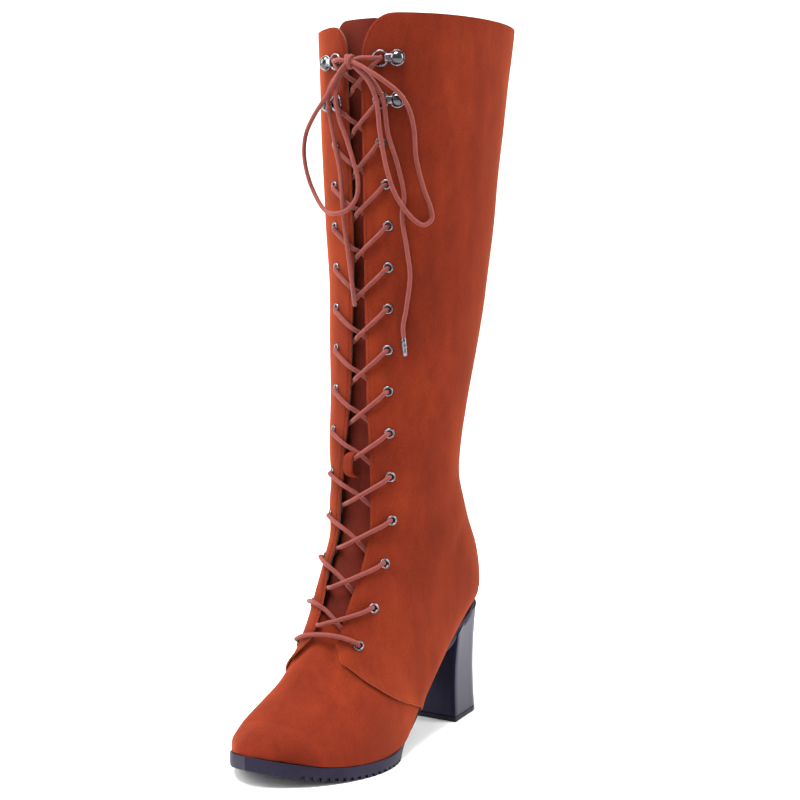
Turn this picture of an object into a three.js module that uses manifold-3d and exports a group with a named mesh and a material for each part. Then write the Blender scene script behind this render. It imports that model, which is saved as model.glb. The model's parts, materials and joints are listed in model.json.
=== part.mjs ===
// A knee-high lace-up boot for the left foot, on a block heel. Millimetres, +Z up.
// The toe points to -Y, +X is the outer side, and the origin is the middle of the heel's tread.
import * as THREE from "three";
import { mergeVertices } from "three/addons/utils/BufferGeometryUtils.js";
import Module from "manifold-3d";

const wasm = await Module();
wasm.setup();

// Main sizes
const toeReach = 191; // heel middle to the tip of the sole
const heelReach = 21; // heel middle to the back of the sole
const ballWidth = 85.5;
const seatRise = 62; // how far the heel seat stands above the forefoot
const toeSpring = 13;
const ankleAboveSeat = 76; // heel seat to the front of the ankle
const instepRise = 110; // forefoot to the highest foot section
const shaftHeight = 423; // floor to collar
const calfWidth = 110;
const calfDepth = 138;

// Walls, layers and clearances
const beyond = 40; // how far cutting bodies reach past the boot
const clearance = 0.3;
const quarterWall = 2.4;
const quarterStep = 1.0; // the quarters stand this much proud of the vamp
const tongueWall = 1.8;
const insoleThickness = 2.0;
const soleThickness = 7.8;
const seatThickness = 5.0; // the sole where the heel meets it
const liftThickness = 3.0;
const featherDepth = 6.0; // the last's underside, this far below the top of the sole

// Heel block
const heelBreast = -24.5;
const breastLean = 4.0;
const breastWidth = 58;
const heelWidth = 52;
const heelBack = 18.5;
const heelHollow = 1.2;

// Throat, facings and fittings
const throatHalf = 11; // half of the gap between the facings where it is widest
const eyeletInset = 18; // from the edge of the facing to the lowest eyelets
const throatStation = 3.95; // where the throat starts, in rows of the section table
const facingCorner = 27; // height and width of the rounding at the top of each facing
const facingFlare = 20;
const throatDepth = 15; // how far the throat's cutter reaches to each side of the skin
const tongueHalf = 17; // half of the tongue's width at its foot
const tongueFlare = 8; // how much more that is at the collar
const tongueCorner = 14;
const tongueDrop = 2; // the tongue's top, this far below the collar
const eyeletCount = 13;
const firstPitch = 20.9; // the lowest two pairs sit closer
const firstEyelet = 7.8; // from the foot of the throat, along the front of the boot
const eyeletOuter = 2.9;
const eyeletBore = 1.6;
const eyeletHeight = 0.9;
const holderPitch = 23.4;
const topRowDrop = 25.5; // collar to the top pair of ring holders, along the front
const ringRadius = 4.3;
const ringWire = 0.8;
const ringInset = 10.0;
const ringSeat = 0.45; // the holders' flat undersides over the round of the boot
const holderShift = 2.2; // both holders of a pair sit this much towards the outer side
const domeRadius = 4.6;
const domeInset = 19.5;
const laceDiameter = 2.6;
const laceDrop = 4.5; // an arm dives this far above the level of the eyelet below it
const keeperLength = 13;
const keeperWidth = 5;
const keeperWall = 1.2;
const laceGap = 0.55; // lace to leather, over the flat facets of the skin
const keeperRise = 2.4; // over the skin's own level
const keeperCrossing = 5;
const laceTuck = 2.5; // how far an arm runs on under the facing
const laceSag = 2.2; // how far a crossing sinks between the facings

// Tread notches round the sole's lower edge
const notchPitch = 4.8;
const notchWidth = 2.0;
const notchHeight = 2.0;
const notchDepth = 2.5;

// How finely the forms are cut
const ringCount = 27;
const toeRings = 7;
const ringSides = 28;

// The sole's outline. y is a share of toeReach in front of the heel's middle and of heelReach behind
// it. outer and inner are shares of ballWidth, measured from the middle line.
const outlineColumns = ["y", "outer", "inner"];
const outlineRows = [
  [-1.0, -0.07, -0.07],
  [-0.979, 0.055, -0.19],
  [-0.942, 0.175, -0.285],
  [-0.906, 0.268, -0.352],
  [-0.864, 0.345, -0.403],
  [-0.812, 0.418, -0.447],
  [-0.759, 0.468, -0.472],
  [-0.702, 0.503, -0.484],
  [-0.615, 0.506, -0.45],
  [-0.55, 0.468, -0.404],
  [-0.482, 0.412, -0.351],
  [-0.393, 0.362, -0.32],
  [-0.293, 0.33, -0.29],
  [-0.115, 0.318, -0.304],
  [0.0, 0.308, -0.308],
  [0.4, 0.269, -0.269],
  [0.76, 0.175, -0.175],
  [0.95, 0.082, -0.082],
  [1.0, 0.0, 0.0],
];

// The top of the sole along its length. y as above, spring a share of toeSpring and rise one of
// seatRise, both added to soleThickness.
const profileColumns = ["y", "spring", "rise"];
const profileRows = [
  [-1.05, 1.04, 0.0],
  [-0.99, 0.71, 0.0],
  [-0.932, 0.44, 0.0],
  [-0.88, 0.25, 0.0],
  [-0.812, 0.08, 0.0],
  [-0.728, 0.0, 0.0],
  [-0.55, 0.0, 0.0],
  [-0.471, 0.0, 0.026],
  [-0.408, 0.0, 0.085],
  [-0.361, 0.0, 0.172],
  [-0.314, 0.0, 0.268],
  [-0.277, 0.0, 0.348],
  [-0.22, 0.0, 0.508],
  [-0.165, 0.0, 0.647],
  [-0.105, 0.0, 0.795],
  [-0.042, 0.0, 0.903],
  [0.14, 0.0, 0.984],
  [0.67, 0.0, 1.032],
  [1.9, 0.0, 1.065],
];

// Sections of the foot, each in a plane from the sole up to the front of the boot.
// frontY and soleY: shares of toeReach, or of heelReach behind the heel's middle.
// frontZ: share of instepRise above the forefoot. lift: share of ankleAboveSeat above the sole.
// outer, inner, spineLow and spineHigh: shares of ballWidth. widest: where up the section it is widest.
// roundOuter, roundInner and roundLow: how square the upper outer, upper inner and lower parts are.
const footColumns = [
  "frontY", "frontZ", "soleY", "lift", "outer", "inner", "spineLow", "spineHigh",
  "widest", "roundOuter", "roundInner", "roundLow",
];
const footRows = [
  [-0.88, 0.218, -0.878, 0.0, 0.339, -0.397, -0.047, -0.082, 0.3, 2.2, 1.9, 5.0],
  [-0.827, 0.275, -0.813, 0.0, 0.414, -0.442, -0.023, -0.082, 0.28, 2.15, 1.8, 5.0],
  [-0.759, 0.343, -0.72, 0.0, 0.49, -0.468, 0.0, -0.082, 0.25, 2.0, 1.7, 5.0],
  [-0.702, 0.432, -0.62, 0.0, 0.503, -0.446, 0.012, -0.07, 0.22, 1.95, 1.7, 5.0],
  [-0.657, 0.566, -0.492, 0.0, 0.463, -0.413, 0.012, -0.058, 0.24, 1.9, 1.75, 4.0],
  [-0.613, 0.711, -0.335, 0.0, 0.401, -0.374, 0.012, -0.047, 0.3, 2.1, 1.95, 3.4],
  [-0.568, 0.857, -0.17, 0.0, 0.405, -0.386, 0.0, -0.035, 0.34, 2.15, 2.15, 3.0],
  [-0.528, 1.0, -0.016, 0.0, 0.419, -0.419, 0.0, -0.023, 0.36, 2.15, 2.15, 2.6],
];

// Sections of the shaft, from the ankle up to the collar, where they lie level.
// frontZ and backZ: shares of the way from the heel seat to the ankle's front, then past 1 shares of
// the way from there to the collar. frontY: from the instep line, backY: from the heel's line, both
// shares of calfDepth. outer, inner: shares of calfWidth, measured from the middle line.
const shaftColumns = ["frontY", "frontZ", "backY", "backZ", "outer", "inner", "widest", "roundHigh", "roundLow"];
const shaftRows = [
  [0.031, 0.79, -0.008, 0.04, 0.331, -0.342, 0.42, 2.15, 2.4],
  [0.044, 1.0, 0.0, 0.36, 0.334, -0.344, 0.5, 2.15, 2.2],
  [0.054, 1.051, -0.093, 0.7, 0.325, -0.337, 0.5, 2.12, 2.1],
  [0.063, 1.109, -0.182, 1.03, 0.339, -0.335, 0.5, 2.08, 2.0],
  [0.076, 1.199, -0.157, 1.174, 0.368, -0.349, 0.5, 2.0, 2.0],
  [0.084, 1.333, -0.072, 1.322, 0.4, -0.377, 0.5, 2.0, 2.0],
  [0.087, 1.478, 0.001, 1.475, 0.429, -0.405, 0.5, 2.0, 2.0],
  [0.077, 1.659, 0.049, 1.659, 0.461, -0.443, 0.5, 2.0, 2.0],
  [0.059, 1.841, 0.12, 1.841, 0.487, -0.469, 0.5, 2.0, 2.0],
  [0.05, 2.0, 0.17, 2.0, 0.512, -0.482, 0.5, 2.0, 2.0],
];

// The front lower edge of the quarters, seen from the side. y: share of toeReach. z: share of instepRise.
const seamColumns = ["y", "z"];
const seamRows = [
  [-0.75, 0.66],
  [-0.69, 0.53],
  [-0.669, 0.463],
  [-0.644, 0.381],
  [-0.6, 0.308],
  [-0.53, 0.232],
  [-0.42, 0.155],
  [-0.34, 0.09],
  [-0.28, 0.03],
];

// The gap between the facings by station of the section table, as a share of throatHalf, and how far
// the eyelets sit from the facing's edge there, as a share of eyeletInset.
const gapColumns = ["station", "half", "inset"];
const gapRows = [
  [3.9, 0.273, 0.961],
  [4.02, 0.782, 0.961],
  [4.3, 0.836, 0.961],
  [5.1, 0.727, 1.067],
  [6.0, 0.818, 1.067],
  [7.2, 0.818, 0.911],
  [8.3, 1.0, 0.756],
  [9.8, 0.964, 0.672],
  [11.1, 0.836, 0.672],
  [12.0, 0.636, 0.694],
  [13.0, 0.509, 0.722],
  [14.0, 0.391, 0.806],
  [15.0, 0.4, 0.778],
  [15.5, 0.418, 0.611],
  [17.0, 0.455, 0.611],
];

// Laces that hang free, as places on the boot: [height, across, lift] in millimetres, where across is
// measured round the boot from the middle of its front, plus to the outer side, and lift is outward.
const knotPlace = [396, 1.5, 6.5];
const innerLoop = [
  [396, 1, 7.5], [395.5, -4.5, 10.2], [391, -11, 10.8], [380, -20, 10.6], [364, -28, 10.5], [352, -31.5, 12.5],
  [341, -32, 12.5], [325, -28.5, 9], [314, -19, 7.4], [311, -9, 8.9], [313, -1, 8], [320, 3.6, 6.6],
  [330, 4.4, 6.2], [340, 2.2, 6.2], [352, -1, 6.4], [366, -5.5, 7], [378, -7.5, 7.4], [388, -4.5, 7.4],
  [396, 0.5, 6.5],
];
const outerLoop = [
  [396.5, 2, 7.5], [396.5, 7.5, 10.2], [392, 13, 10.6], [385, 19, 9.4], [375, 26.5, 7.4], [364, 31, 5.4],
  [352, 34, 3.6], [336, 36, 2.6], [320, 40, 2.6], [309, 44.5, 2.6], [303.5, 44.5, 2.6], [302, 40, 2.8],
  [306, 34, 4.4], [313, 29, 5.6], [323, 25, 6.2], [337, 20.5, 6.6], [354, 16.5, 6.8], [372, 13.6, 7.1],
  [383, 10, 7.1], [390, 5.8, 7.1], [396, 1.5, 6.5],
];
const outerEnd = [
  [396, 2, 6.5], [391.6, 7.6, 6.6], [388.5, 11.4, 6.9], [383, 14.9, 7.1], [373, 18, 6.6], [357, 21.5, 6.4],
  [338, 26, 3.6], [320, 29, 2.3], [308, 28.5, 2.3], [290, 30.5, 2.3], [274, 31.5, 2.3], [254, 28, 2.3],
  [245, 27, 2.3], [240, 27.5, 2.3],
];
const innerEnd = [
  [396, 0.5, 6.5], [391.4, -5, 6.6], [388, -9.5, 6.9], [383, -15.5, 6.8], [374, -18.8, 6.6], [366, -18.5, 6.4],
  [348, -13.5, 6.4], [333, -10, 6], [306, -7.5, 5.6], [290, -6, 5.5], [279, -4, 5.5], [268, -2.5, 5.5],
];
const agletLength = 11;
const agletDiameter = 2.9;
const knotHalf = [5.2, 3.4, 3.4];
const knotArmLift = 5.4;

// Names each column of a table's rows.
function table(columns, rows) {
  return rows.map((row) => Object.fromEntries(columns.map((name, i) => [name, row[i]])));
}

// A smooth curve through a table's points, at x.
function smooth(xs, ys, x) {
  const last = xs.length - 1;
  const slope = (i) => (ys[i + 1] - ys[i]) / (xs[i + 1] - xs[i]);
  const tangent = (i) => {
    if (i === 0) return slope(0);
    if (i === last) return slope(last - 1);
    const before = xs[i] - xs[i - 1];
    const after = xs[i + 1] - xs[i];
    return (slope(i - 1) * after + slope(i) * before) / (before + after);
  };
  let i = 0;
  while (i < last - 1 && x > xs[i + 1]) i += 1;
  const width = xs[i + 1] - xs[i];
  const t = Math.min(1, Math.max(0, (x - xs[i]) / width));
  const t2 = t * t;
  const t3 = t2 * t;
  return (
    (2 * t3 - 3 * t2 + 1) * ys[i] +
    (t3 - 2 * t2 + t) * width * tangent(i) +
    (3 * t2 - 2 * t3) * ys[i + 1] +
    (t3 - t2) * width * tangent(i + 1)
  );
}

const lengthwise = (share) => share * (share < 0 ? toeReach : heelReach);

const outline = table(outlineColumns, outlineRows).map((row) => ({
  y: lengthwise(row.y),
  outer: row.outer * ballWidth,
  inner: row.inner * ballWidth,
}));
const profile = table(profileColumns, profileRows).map((row) => ({
  y: lengthwise(row.y),
  z: soleThickness + row.spring * toeSpring + row.rise * seatRise,
}));

function soleTop(y) {
  return smooth(profile.map((p) => p.y), profile.map((p) => p.z), y);
}

function outlineAt(side, y) {
  return smooth(outline.map((p) => p.y), outline.map((p) => p[side]), y);
}

// The section table in millimetres, foot and shaft together.
const seatZ = soleThickness + seatRise;
const ankleZ = seatZ + ankleAboveSeat;
const instepY = lengthwise(-0.528);
const heelLine = heelReach * 0.97;

const footSections = table(footColumns, footRows).map((row) => {
  const soleY = lengthwise(row.soleY);
  return {
    ...row,
    frontY: lengthwise(row.frontY),
    frontZ: soleThickness + row.frontZ * instepRise,
    baseY: soleY,
    baseZ: soleTop(soleY) - featherDepth + row.lift * ankleAboveSeat,
    outer: row.outer * ballWidth,
    inner: row.inner * ballWidth,
    spineLow: row.spineLow * ballWidth,
    spineHigh: row.spineHigh * ballWidth,
  };
});

function shaftLevel(share) {
  if (share <= 1) return seatZ + share * ankleAboveSeat;
  return ankleZ + (share - 1) * (shaftHeight - ankleZ);
}

const shaftSections = table(shaftColumns, shaftRows).map((row) => ({
  frontY: instepY + row.frontY * calfDepth,
  frontZ: shaftLevel(row.frontZ),
  baseY: heelLine + row.backY * calfDepth,
  baseZ: shaftLevel(row.backZ),
  outer: row.outer * calfWidth,
  inner: row.inner * calfWidth,
  spineLow: 0,
  spineHigh: 0,
  widest: row.widest,
  roundOuter: row.roundHigh,
  roundInner: row.roundHigh,
  roundLow: row.roundLow,
}));

const sections = [...footSections, ...shaftSections];
const topStation = sections.length - 1;
const stationNumbers = sections.map((_, i) => i);
const sectionKeys = Object.keys(shaftSections[0]);

// The section at a station of the table. Below 0 it closes round the toe, to the tip at -1.
function sectionAt(station) {
  const made = {};
  if (station >= 0) {
    for (const key of sectionKeys) {
      made[key] = smooth(stationNumbers, sections.map((row) => row[key]), station);
    }
    return made;
  }
  const first = sections[0];
  const tip = -toeReach + quarterStep;
  const ahead = 0.985 * Math.cos(((station + 1) * Math.PI) / 2);
  const y = first.frontY + (tip - first.frontY) * ahead;
  const height = Math.max(0.14, (1 - ahead ** 1.25) ** 0.5);
  const base = soleTop(y) - featherDepth;
  const firstHeight = first.frontZ - soleTop(first.frontY) + featherDepth;
  const blend = Math.min(1, ahead / 0.35);
  const side = (name, inset) => {
    const onSole = outlineAt(name, y) + inset;
    const asFirst = first[name] + outlineAt(name, y) - outlineAt(name, first.frontY);
    return onSole * blend + asFirst * (1 - blend);
  };
  const outer = side("outer", -0.6);
  const inner = side("inner", 0.6);
  const middle = (outer + inner) / 2;
  return {
    ...first,
    frontY: y,
    baseY: y,
    baseZ: base,
    frontZ: base + firstHeight * height,
    outer,
    inner,
    spineLow: first.spineLow * (1 - blend) + middle * blend,
    spineHigh: first.spineHigh * (1 - blend) + (middle - 1) * blend,
    widest: first.widest + 0.12 * ahead,
  };
}

// A point of a section. turn runs from 0 under the foot, up the outer side, to 0.5 at the front.
function sectionPoint(row, turn) {
  const sine = Math.sin(2 * Math.PI * turn);
  const cosine = -Math.cos(2 * Math.PI * turn);
  const high = sine >= 0 ? row.roundOuter : row.roundInner;
  const power = 2 / (cosine < 0 ? row.roundLow : high);
  const reach = Math.abs(cosine) ** power;
  const up = cosine < 0 ? row.widest * (1 - reach) : row.widest + (1 - row.widest) * reach;
  const spineAt = (share) => row.spineLow + (row.spineHigh - row.spineLow) * share;
  const half = sine >= 0 ? row.outer - spineAt(row.widest) : spineAt(row.widest) - row.inner;
  return new THREE.Vector3(
    spineAt(up) + half * Math.sign(sine) * Math.abs(sine) ** power,
    row.baseY + (row.frontY - row.baseY) * up,
    row.baseZ + (row.frontZ - row.baseZ) * up,
  );
}

const ringStations = [];
for (let i = 0; i < toeRings; i += 1) ringStations.push(-1 + i / toeRings);
for (let i = 0; i < ringCount; i += 1) ringStations.push((topStation * i) / (ringCount - 1));

// Outward direction of the skin at a station and turn.
function skinNormal(station, turn) {
  const low = sectionAt(Math.max(-1, station - 0.05));
  const high = sectionAt(Math.min(topStation, station + 0.05));
  const along = sectionPoint(high, turn).sub(sectionPoint(low, turn));
  const here = sectionAt(station);
  const round = sectionPoint(here, turn + 0.004).sub(sectionPoint(here, turn - 0.004));
  return along.cross(round).normalize();
}

// A closed body from rings of points, each the same length, with a fan at each end. The points run
// anticlockwise as seen from where the rings are heading.
function ringBody(rings) {
  const count = rings[0].length;
  const positions = [];
  const middles = [rings[0], rings[rings.length - 1]].map((ring) =>
    ring.reduce((sum, p) => sum.add(p), new THREE.Vector3()).divideScalar(count),
  );
  for (const ring of rings) for (const p of ring) positions.push(p.x, p.y, p.z);
  for (const p of middles) positions.push(p.x, p.y, p.z);
  const faces = [];
  const start = rings.length * count;
  for (let j = 0; j < count; j += 1) {
    const next = (j + 1) % count;
    for (let i = 0; i < rings.length - 1; i += 1) {
      const a = i * count + j;
      const b = i * count + next;
      faces.push(a, b, b + count, a, b + count, a + count);
    }
    const top = (rings.length - 1) * count;
    faces.push(start, next, j, start + 1, top + j, top + next);
  }
  return solidFrom(positions, faces);
}

function solidFrom(positions, faces) {
  const mesh = new wasm.Mesh({
    numProp: 3,
    vertProperties: new Float32Array(positions),
    triVerts: new Uint32Array(faces),
  });
  return new wasm.Manifold(mesh);
}

// A three.js geometry as a solid, for joins and cuts.
function solidOf(geometry) {
  const bare = geometry.clone();
  for (const name of Object.keys(bare.attributes)) {
    if (name !== "position") bare.deleteAttribute(name);
  }
  const merged = mergeVertices(bare, 1e-4);
  return solidFrom(merged.attributes.position.array, merged.index.array);
}

// The boot's outer skin, moved inward by inset.
function skinBody(inset) {
  const rings = ringStations.map((station) => {
    const row = sectionAt(station);
    const ring = [];
    for (let j = 0; j < ringSides; j += 1) {
      const turn = 1 - j / ringSides;
      const point = sectionPoint(row, turn);
      if (inset) point.addScaledVector(skinNormal(station, turn), -inset);
      ring.push(point);
    }
    return ring;
  });
  const top = rings[rings.length - 1];
  // The inner skin runs out through the collar.
  if (inset) rings.push(top.map((p) => p.clone().setZ(shaftHeight + 5)));
  return ringBody(rings);
}

// A side profile of [y, z] points, drawn right across the boot or between two x values.
function crossBody(points, from = -calfWidth, to = calfWidth) {
  const shape = new THREE.Shape(points.map(([y, z]) => new THREE.Vector2(y, z)));
  const geometry = new THREE.ExtrudeGeometry(shape, { depth: to - from, bevelEnabled: false });
  const basis = new THREE.Matrix4().makeBasis(
    new THREE.Vector3(0, 1, 0),
    new THREE.Vector3(0, 0, 1),
    new THREE.Vector3(1, 0, 0),
  );
  geometry.applyMatrix4(basis);
  geometry.translate(from, 0, 0);
  return solidOf(geometry);
}

// Everything below the top of the sole, raised by gap.
function belowSole(gap) {
  const back = heelReach + beyond;
  const points = [[back, -beyond]];
  for (let i = 0; i <= 60; i += 1) {
    const y = back - (i / 60) * (back + toeReach + beyond / 2);
    points.push([y, soleTop(y) + gap]);
  }
  points.push([-toeReach - beyond / 2, -beyond]);
  return crossBody(points);
}

// A place on the skin: across is the distance round the ring from the middle of its front, plus to
// the outer side, and lift is the distance outward.
const ringCache = new Map();
function onSkin(station, across, lift) {
  const key = station.toFixed(4);
  if (!ringCache.has(key)) {
    const row = sectionAt(station);
    const half = (sign) => {
      const walk = [{ turn: 0.5, length: 0 }];
      let before = sectionPoint(row, 0.5);
      for (let i = 1; i <= 180; i += 1) {
        const turn = 0.5 - sign * i * 0.0025;
        const here = sectionPoint(row, turn);
        walk.push({ turn, length: walk[i - 1].length + here.distanceTo(before) });
        before = here;
      }
      return walk;
    };
    ringCache.set(key, { row, plus: half(1), minus: half(-1) });
  }
  const ring = ringCache.get(key);
  const walk = across >= 0 ? ring.plus : ring.minus;
  const goal = Math.abs(across);
  let i = 1;
  while (i < walk.length - 1 && walk[i].length < goal) i += 1;
  const t = (goal - walk[i - 1].length) / (walk[i].length - walk[i - 1].length);
  const turn = walk[i - 1].turn + (walk[i].turn - walk[i - 1].turn) * t;
  const normal = skinNormal(station, turn);
  const point = sectionPoint(ring.row, turn).addScaledVector(normal, lift);
  return { point, normal };
}

// Stations by distance up the middle of the front, from the foot of the throat.
const frontWalk = [{ station: throatStation, length: 0 }];
for (let station = throatStation + 0.02; station < topStation + 0.01; station += 0.02) {
  const at = Math.min(station, topStation);
  const before = frontWalk[frontWalk.length - 1];
  const step = sectionPoint(sectionAt(at), 0.5).distanceTo(sectionPoint(sectionAt(before.station), 0.5));
  frontWalk.push({ station: at, length: before.length + step });
}
function stationUp(length) {
  return smooth(frontWalk.map((w) => w.length), frontWalk.map((w) => w.station), length);
}
function stationAtHeight(height) {
  const heights = frontWalk.map((w) => sectionAt(w.station).frontZ);
  return smooth(heights, frontWalk.map((w) => w.station), height);
}

const gaps = table(gapColumns, gapRows).map((row) => ({
  station: row.station,
  half: row.half * throatHalf,
  inset: row.inset * eyeletInset,
}));
function gapAt(station, column = "half") {
  return smooth(gaps.map((row) => row.station), gaps.map((row) => row[column]), station);
}

// The upper: one hollow body whose quarters stand proud of the vamp.
function throatCutter() {
  const frontLength = frontWalk[frontWalk.length - 1].length;
  const lengths = [];
  for (let i = 0; i <= 26; i += 1) lengths.push((i / 26) * (frontLength - facingCorner));
  for (let i = 1; i <= 6; i += 1) lengths.push(frontLength - facingCorner * (1 - Math.sin((i * Math.PI) / 12)));
  const rings = lengths.map((length) => {
    const station = stationUp(length);
    const { point, normal } = onSkin(station, 0, 0);
    const left = Math.max(0, length - (frontLength - facingCorner));
    const flare = facingFlare * (1 - Math.sqrt(Math.max(0, 1 - (left / facingCorner) ** 2)));
    const half = gapAt(station) + flare;
    const corner = (x, lift) => point.clone().addScaledVector(normal, lift).add(new THREE.Vector3(x, 0, 0));
    const [deep, high] = [-throatDepth, throatDepth];
    return [corner(-half, deep), corner(half, deep), corner(half, high), corner(-half, high)];
  });
  const top = rings[rings.length - 1];
  rings.push(top.map((p) => p.clone().setZ(shaftHeight + 8)));
  return ringBody(rings.map((ring) => [...ring].reverse()));
}

function quarterRegion() {
  const seam = table(seamColumns, seamRows).map((row) => ({
    y: row.y * toeReach,
    z: soleThickness + row.z * instepRise,
  }));
  const points = [];
  for (let i = 0; i <= 24; i += 1) {
    const y = seam[0].y + ((seam[seam.length - 1].y - seam[0].y) * i) / 24;
    points.push([y, smooth(seam.map((p) => p.y), seam.map((p) => p.z), y)]);
  }
  const top = shaftHeight + beyond;
  points.push([calfDepth, -beyond], [calfDepth, top], [-toeReach, top], [-toeReach, ankleZ]);
  return crossBody(points);
}

const innerSkin = skinBody(quarterWall);
const throat = throatCutter();

function makeUpper() {
  const vamp = skinBody(quarterStep).subtract(crossBody([
    [-toeReach - beyond, shaftHeight],
    [calfDepth, shaftHeight],
    [calfDepth, shaftHeight + beyond],
    [-toeReach - beyond, shaftHeight + beyond],
  ]));
  const quarters = skinBody(0).intersect(quarterRegion());
  return vamp.add(quarters).subtract(innerSkin).subtract(throat).subtract(belowSole(clearance));
}

const tuckStation = 0.4;

// The tongue, a sheet behind the facings with room for the lace between.
const tongueDepth = quarterWall + laceDiameter + 2 * laceGap;
function makeTongue() {
  const frontLength = frontWalk[frontWalk.length - 1].length;
  const length = frontLength - tongueDrop;
  const steps = 26;
  const across = 5;
  const tucked = 2; // rings under the vamp, which rise to its inside
  const rings = [];
  for (let i = -tucked; i <= steps; i += 1) {
    const share = Math.max(0, i / steps);
    const station = i < 0 ? throatStation + tuckStation * i : stationUp(share * length);
    const seated = i < 0 ? 1 + i / tucked : 1;
    const depth = quarterWall + clearance + (tongueDepth - quarterWall - clearance) * seated;
    const fromTop = (1 - share) * length;
    const left = Math.max(0, tongueCorner - fromTop);
    const corner = tongueCorner - Math.sqrt(tongueCorner ** 2 - left ** 2);
    const half = tongueHalf + tongueFlare * share - corner;
    const ring = [];
    for (let j = 0; j <= across; j += 1) {
      ring.push(onSkin(station, (2 * half * j) / across - half, -depth).point);
    }
    for (let j = across; j >= 0; j -= 1) {
      ring.push(onSkin(station, (2 * half * j) / across - half, -depth - tongueWall).point);
    }
    rings.push(ring);
  }
  return ringBody(rings);
}

// Side curve of the sole's underside: flat on the floor under the ball, close to the heel behind.
function soleUnder(y) {
  const seatShare = Math.min(1, Math.max(0, (y + toeReach * 0.5) / (toeReach * 0.35)));
  return Math.max(0, soleTop(y) - soleThickness - (seatThickness - soleThickness) * seatShare);
}

function soleOutline() {
  const points = [];
  for (const p of outline) points.push(new THREE.Vector3(p.outer, p.y, 0));
  for (const p of [...outline].reverse().slice(1, -1)) points.push(new THREE.Vector3(p.inner, p.y, 0));
  return new THREE.CatmullRomCurve3(points, true, "centripetal");
}

function makeOutsole() {
  const curve = soleOutline();
  const shape = new THREE.Shape(curve.getSpacedPoints(80).slice(0, -1).map((p) => new THREE.Vector2(p.x, p.y)));
  const plan = solidOf(new THREE.ExtrudeGeometry(shape, { depth: seatZ + 2 * beyond, bevelEnabled: false }).translate(0, 0, -beyond));
  const side = [];
  const back = heelReach + beyond;
  const steps = 46;
  for (let i = 0; i <= steps; i += 1) {
    const y = back - (i / steps) * (back + toeReach + beyond / 2);
    side.push([y, soleTop(y)]);
  }
  for (let i = steps; i >= 0; i -= 1) {
    const y = back - (i / steps) * (back + toeReach + beyond / 2);
    side.push([y, soleUnder(y)]);
  }
  let sole = plan.intersect(crossBody(side));
  const length = curve.getLength();
  const count = Math.floor(length / notchPitch);
  for (let i = 0; i < count; i += 1) {
    const share = i / count;
    const p = curve.getPointAt(share);
    const ahead = -p.y / toeReach;
    if (ahead < 0.45 || ahead > 0.93) continue;
    const tangent = curve.getTangentAt(share);
    const box = new THREE.BoxGeometry(notchWidth, notchDepth * 2, notchHeight * 2);
    box.applyMatrix4(new THREE.Matrix4().makeRotationZ(Math.atan2(tangent.y, tangent.x)));
    box.translate(p.x, p.y, soleUnder(p.y));
    sole = sole.subtract(solidOf(box));
  }
  return sole;
}

function makeInsole() {
  const side = [];
  for (const gap of [clearance, clearance + insoleThickness]) {
    const row = [];
    for (let i = 0; i <= 24; i += 1) {
      const y = heelReach + beyond / 2 - (i / 24) * (toeReach + heelReach + beyond);
      row.push([y, soleTop(y) + gap]);
    }
    side.push(...(gap === clearance ? row.reverse() : row));
  }
  return skinBody(quarterWall + clearance + 0.2).intersect(crossBody(side));
}

// The heel's outline at a height: flat in front, sides that draw in, and a round back.
function heelRing(z, inset = 0) {
  const share = z / seatZ;
  const hollow = heelHollow * Math.sin(Math.PI * Math.min(1, share));
  const front = heelBreast + breastLean * share + inset;
  const wide = breastWidth / 2 - 1.2 * share - hollow - inset;
  const side = heelWidth / 2 - hollow - inset;
  const back = heelBack + 1.5 * share - hollow - inset;
  const half = [[wide - 2, front], [wide, front + 2], [(wide + side) / 2, front / 2], [side, 0]];
  for (let i = 1; i <= 8; i += 1) {
    const angle = (i / 8) * (Math.PI / 2);
    half.push([side * Math.cos(angle) ** 0.85, back * Math.sin(angle)]);
  }
  const other = half.slice(0, -1).reverse().map(([x, y]) => [-x, y]);
  return [...half, ...other].map(([x, y]) => new THREE.Vector3(Math.abs(x) < 1e-6 ? 0 : x, y, z));
}

function makeHeel() {
  const rings = [];
  const low = liftThickness + clearance;
  for (let i = 0; i <= 8; i += 1) rings.push(heelRing(low + ((seatZ + 12 - low) * i) / 8));
  const above = [];
  for (let i = 0; i <= 30; i += 1) {
    const y = heelReach + beyond - (i / 30) * (heelReach - heelBreast + 2 * beyond);
    above.push([y, soleUnder(y) - clearance]);
  }
  above.push([heelBreast - beyond, seatZ + beyond], [heelReach + beyond, seatZ + beyond]);
  return ringBody(rings).subtract(crossBody(above.reverse()));
}

function makeLift() {
  return ringBody([heelRing(0, 0.3), heelRing(0.5), heelRing(liftThickness)]);
}

// Puts a piece modelled at the origin, with +Z outward, at a place on the skin.
function seatOnSkin(geometry, station, across, lift) {
  const { point, normal } = onSkin(station, across, lift);
  const up = onSkin(Math.min(topStation, station + 0.05), across, lift).point.sub(point).normalize();
  const side = new THREE.Vector3().crossVectors(up, normal).normalize();
  const ahead = new THREE.Vector3().crossVectors(normal, side);
  const matrix = new THREE.Matrix4().makeBasis(side, ahead, normal).setPosition(point);
  return geometry.applyMatrix4(matrix);
}

// The eyelets above the lowest pair share what the front leaves between it and the ring holders.
const lastEyelet = frontWalk[frontWalk.length - 1].length - topRowDrop - 2 * holderPitch;
const eyeletPitch = (lastEyelet - firstEyelet - firstPitch) / (eyeletCount - 2);

// How far up the front each eyelet row is. Past the last eyelets come the ring holders.
function rowUp(i) {
  const eyelets = Math.min(i, eyeletCount - 1);
  const holders = i - eyelets;
  const second = Math.min(1, eyelets);
  return firstEyelet + second * firstPitch + (eyelets - second) * eyeletPitch + holders * holderPitch;
}
const rowStation = (i) => stationUp(rowUp(i));
const eyeletFromMiddle = (station) => gapAt(station) + gapAt(station, "inset");

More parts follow.
